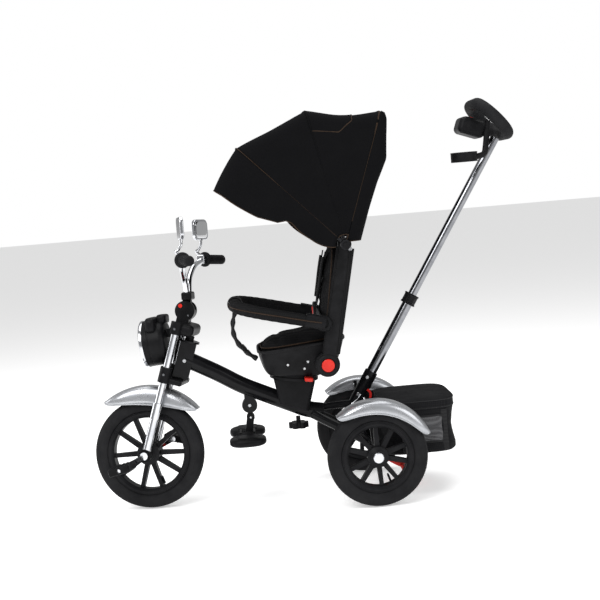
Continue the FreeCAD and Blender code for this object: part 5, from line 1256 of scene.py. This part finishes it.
padDesign = {"size": (0.099, 0.094, 0.027), "power": 3.0, "ribs": 7, "top": 0.0138}
for side, way in sideWays.items():
    middle = Vector((-0.177, way * 0.074, 0.172))
    mesh = pillow(padDesign["size"], padDesign["power"], 13, Matrix.Translation(middle))
    hub = Vector((-0.177, way * 0.022, 0.182))
    join(mesh, lathe([(0.0035, -0.0155), (0.0058, -0.0155), (0.0062, -0.0145), (0.0062, 0.0145),
                      (0.0058, 0.0155), (0.0035, 0.0155), (0.0035, -0.0155)], 24, laidOut(hub, (1, 0, 0))))
    join(mesh, pillow((0.0305, 0.02, 0.0075), 6, 5, Matrix.Translation((-0.177, way * 0.0335, 0.1785))))
    for i in range(padDesign["ribs"]):
        across = (i - (padDesign["ribs"] - 1) / 2) * 0.0105
        join(mesh, pillow((0.068 - abs(across) * 0.5, 0.004, 0.0036), 4, 4, Matrix.Translation(
            middle + Vector((0, across, padDesign["top"] - 0.0022)))))
    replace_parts(piece(f"footPad{side.title()}", mesh, "blackMoulding", f"foot_plate_{side}"),
                f"foot_plate_{side}")
mesh = bmesh.new()
for way in (-1, 1):
    join(mesh, bolt((-0.165, way * 0.0122, 0.257), (0, way, 0), 0.0055, 0.003))
piece("footrestBolts", mesh, "boltSteel", "frame")
mesh = bmesh.new()
for way in (-1, 1):
    join(mesh, bolt((-0.165, way * 0.0122, 0.224), (0, way, 0), 0.0035, 0.002))
piece("footrestPin", mesh, "boltSteel", "footrest")
crankTurn = Matrix.Translation(frontHub) @ Matrix.Rotation(math.radians(-25), 4, "Y")
for side, way in sideWays.items():
    middle = crankTurn @ Vector((way * 0.055, way * (0.052 + 0.011 + 0.004 + 0.007 + 0.004 + 0.039), 0))
    turn = Matrix.Translation(middle) @ Matrix.Rotation(math.radians(12 * way), 4, "Y")
    ribs = bmesh.new()
    for face in (-1, 1):
        for i in range(5):
            join(ribs, pillow((0.005, 0.068, 0.004), 5, 4, turn @ Matrix.Translation(
                ((i - 2) * 0.011, 0, face * 0.0098))))
    piece(f"pedalTread{side.title()}", steered(ribs), "tyreRubber", f"pedal_{side}")
print("all pieces ready")


# camera, floor and light

viewDesign = {"place": (-0.146, -3.559, 0.829), "yaw": 0.0398, "pitch": 0.0836, "roll": -0.0836, "lens": 79.0}
camera = bpy.data.objects.new("camera", bpy.data.cameras.new("camera"))
bpy.context.scene.collection.objects.link(camera)
yaw, pitch, roll = viewDesign["yaw"], viewDesign["pitch"], viewDesign["roll"]
ahead = Vector((math.sin(yaw) * math.cos(pitch), math.cos(yaw) * math.cos(pitch), -math.sin(pitch)))
right = ahead.cross(Vector((0, 0, 1))).normalized()
up = right.cross(ahead)
across = right * math.cos(roll) + up * math.sin(roll)
rise = up * math.cos(roll) - right * math.sin(roll)
aim = Matrix((across, rise, -ahead)).transposed().to_4x4()
camera.matrix_world = Matrix.Translation(viewDesign["place"]) @ aim
camera.data.lens = viewDesign["lens"]
camera.data.sensor_width = 36
bpy.context.scene.camera = camera

floorMaterial = bpy.data.materials.new("floor")
floorMaterial.use_nodes = True
floorMaterial.node_tree.nodes["Principled BSDF"].inputs["Base Color"].default_value = (0.93, 0.93, 0.93, 1)
floorMaterial.node_tree.nodes["Principled BSDF"].inputs["Roughness"].default_value = 0.9
floorMaterial.node_tree.nodes["Principled BSDF"].inputs["Emission Color"].default_value = (1, 1, 1, 1)
floorMaterial.node_tree.nodes["Principled BSDF"].inputs["Emission Strength"].default_value = 0.4
mesh = bmesh.new()
bmesh.ops.create_grid(mesh, x_segments=2, y_segments=2, size=30)
data = bpy.data.meshes.new("floor")
mesh.to_mesh(data)
mesh.free()
data.materials.append(floorMaterial)
floor = bpy.data.objects.new("floor", data)
floor.location.z = -0.0015
bpy.context.scene.collection.objects.link(floor)

lightDesign = {
    "key": ((-1.6, -2.6, 2.9), 2.2, 95.0), "fill": ((2.6, -2.4, 1.9), 2.6, 46.0),
    "top": ((0.2, 0.4, 3.4), 3.0, 70.0), "front": ((-3.2, 0.6, 1.4), 1.8, 32.0),
}
for name, (spot, width, power) in lightDesign.items():
    lamp = bpy.data.lights.new(name, "AREA")
    lamp.size = width
    lamp.energy = power
    lampItem = bpy.data.objects.new(name, lamp)
    lampItem.location = spot
    lampItem.rotation_euler = (Vector((0, 0, 0.45)) - Vector(spot)).to_track_quat("-Z", "Y").to_euler()
    bpy.context.scene.collection.objects.link(lampItem)
world = bpy.data.worlds.new("studio")
world.use_nodes = True
backdrop = world.node_tree.nodes["Background"]
rays = world.node_tree.nodes.new("ShaderNodeLightPath")
glow = remap(world.node_tree, rays.outputs["Is Camera Ray"], 0, 1, 0.36, 1.0)
world.node_tree.links.new(glow, backdrop.inputs["Strength"])
backdrop.inputs["Color"].default_value = (1, 1, 1, 1)
bpy.context.scene.world = world
bpy.context.scene.view_settings.view_transform = "Standard"

print("scene ready")
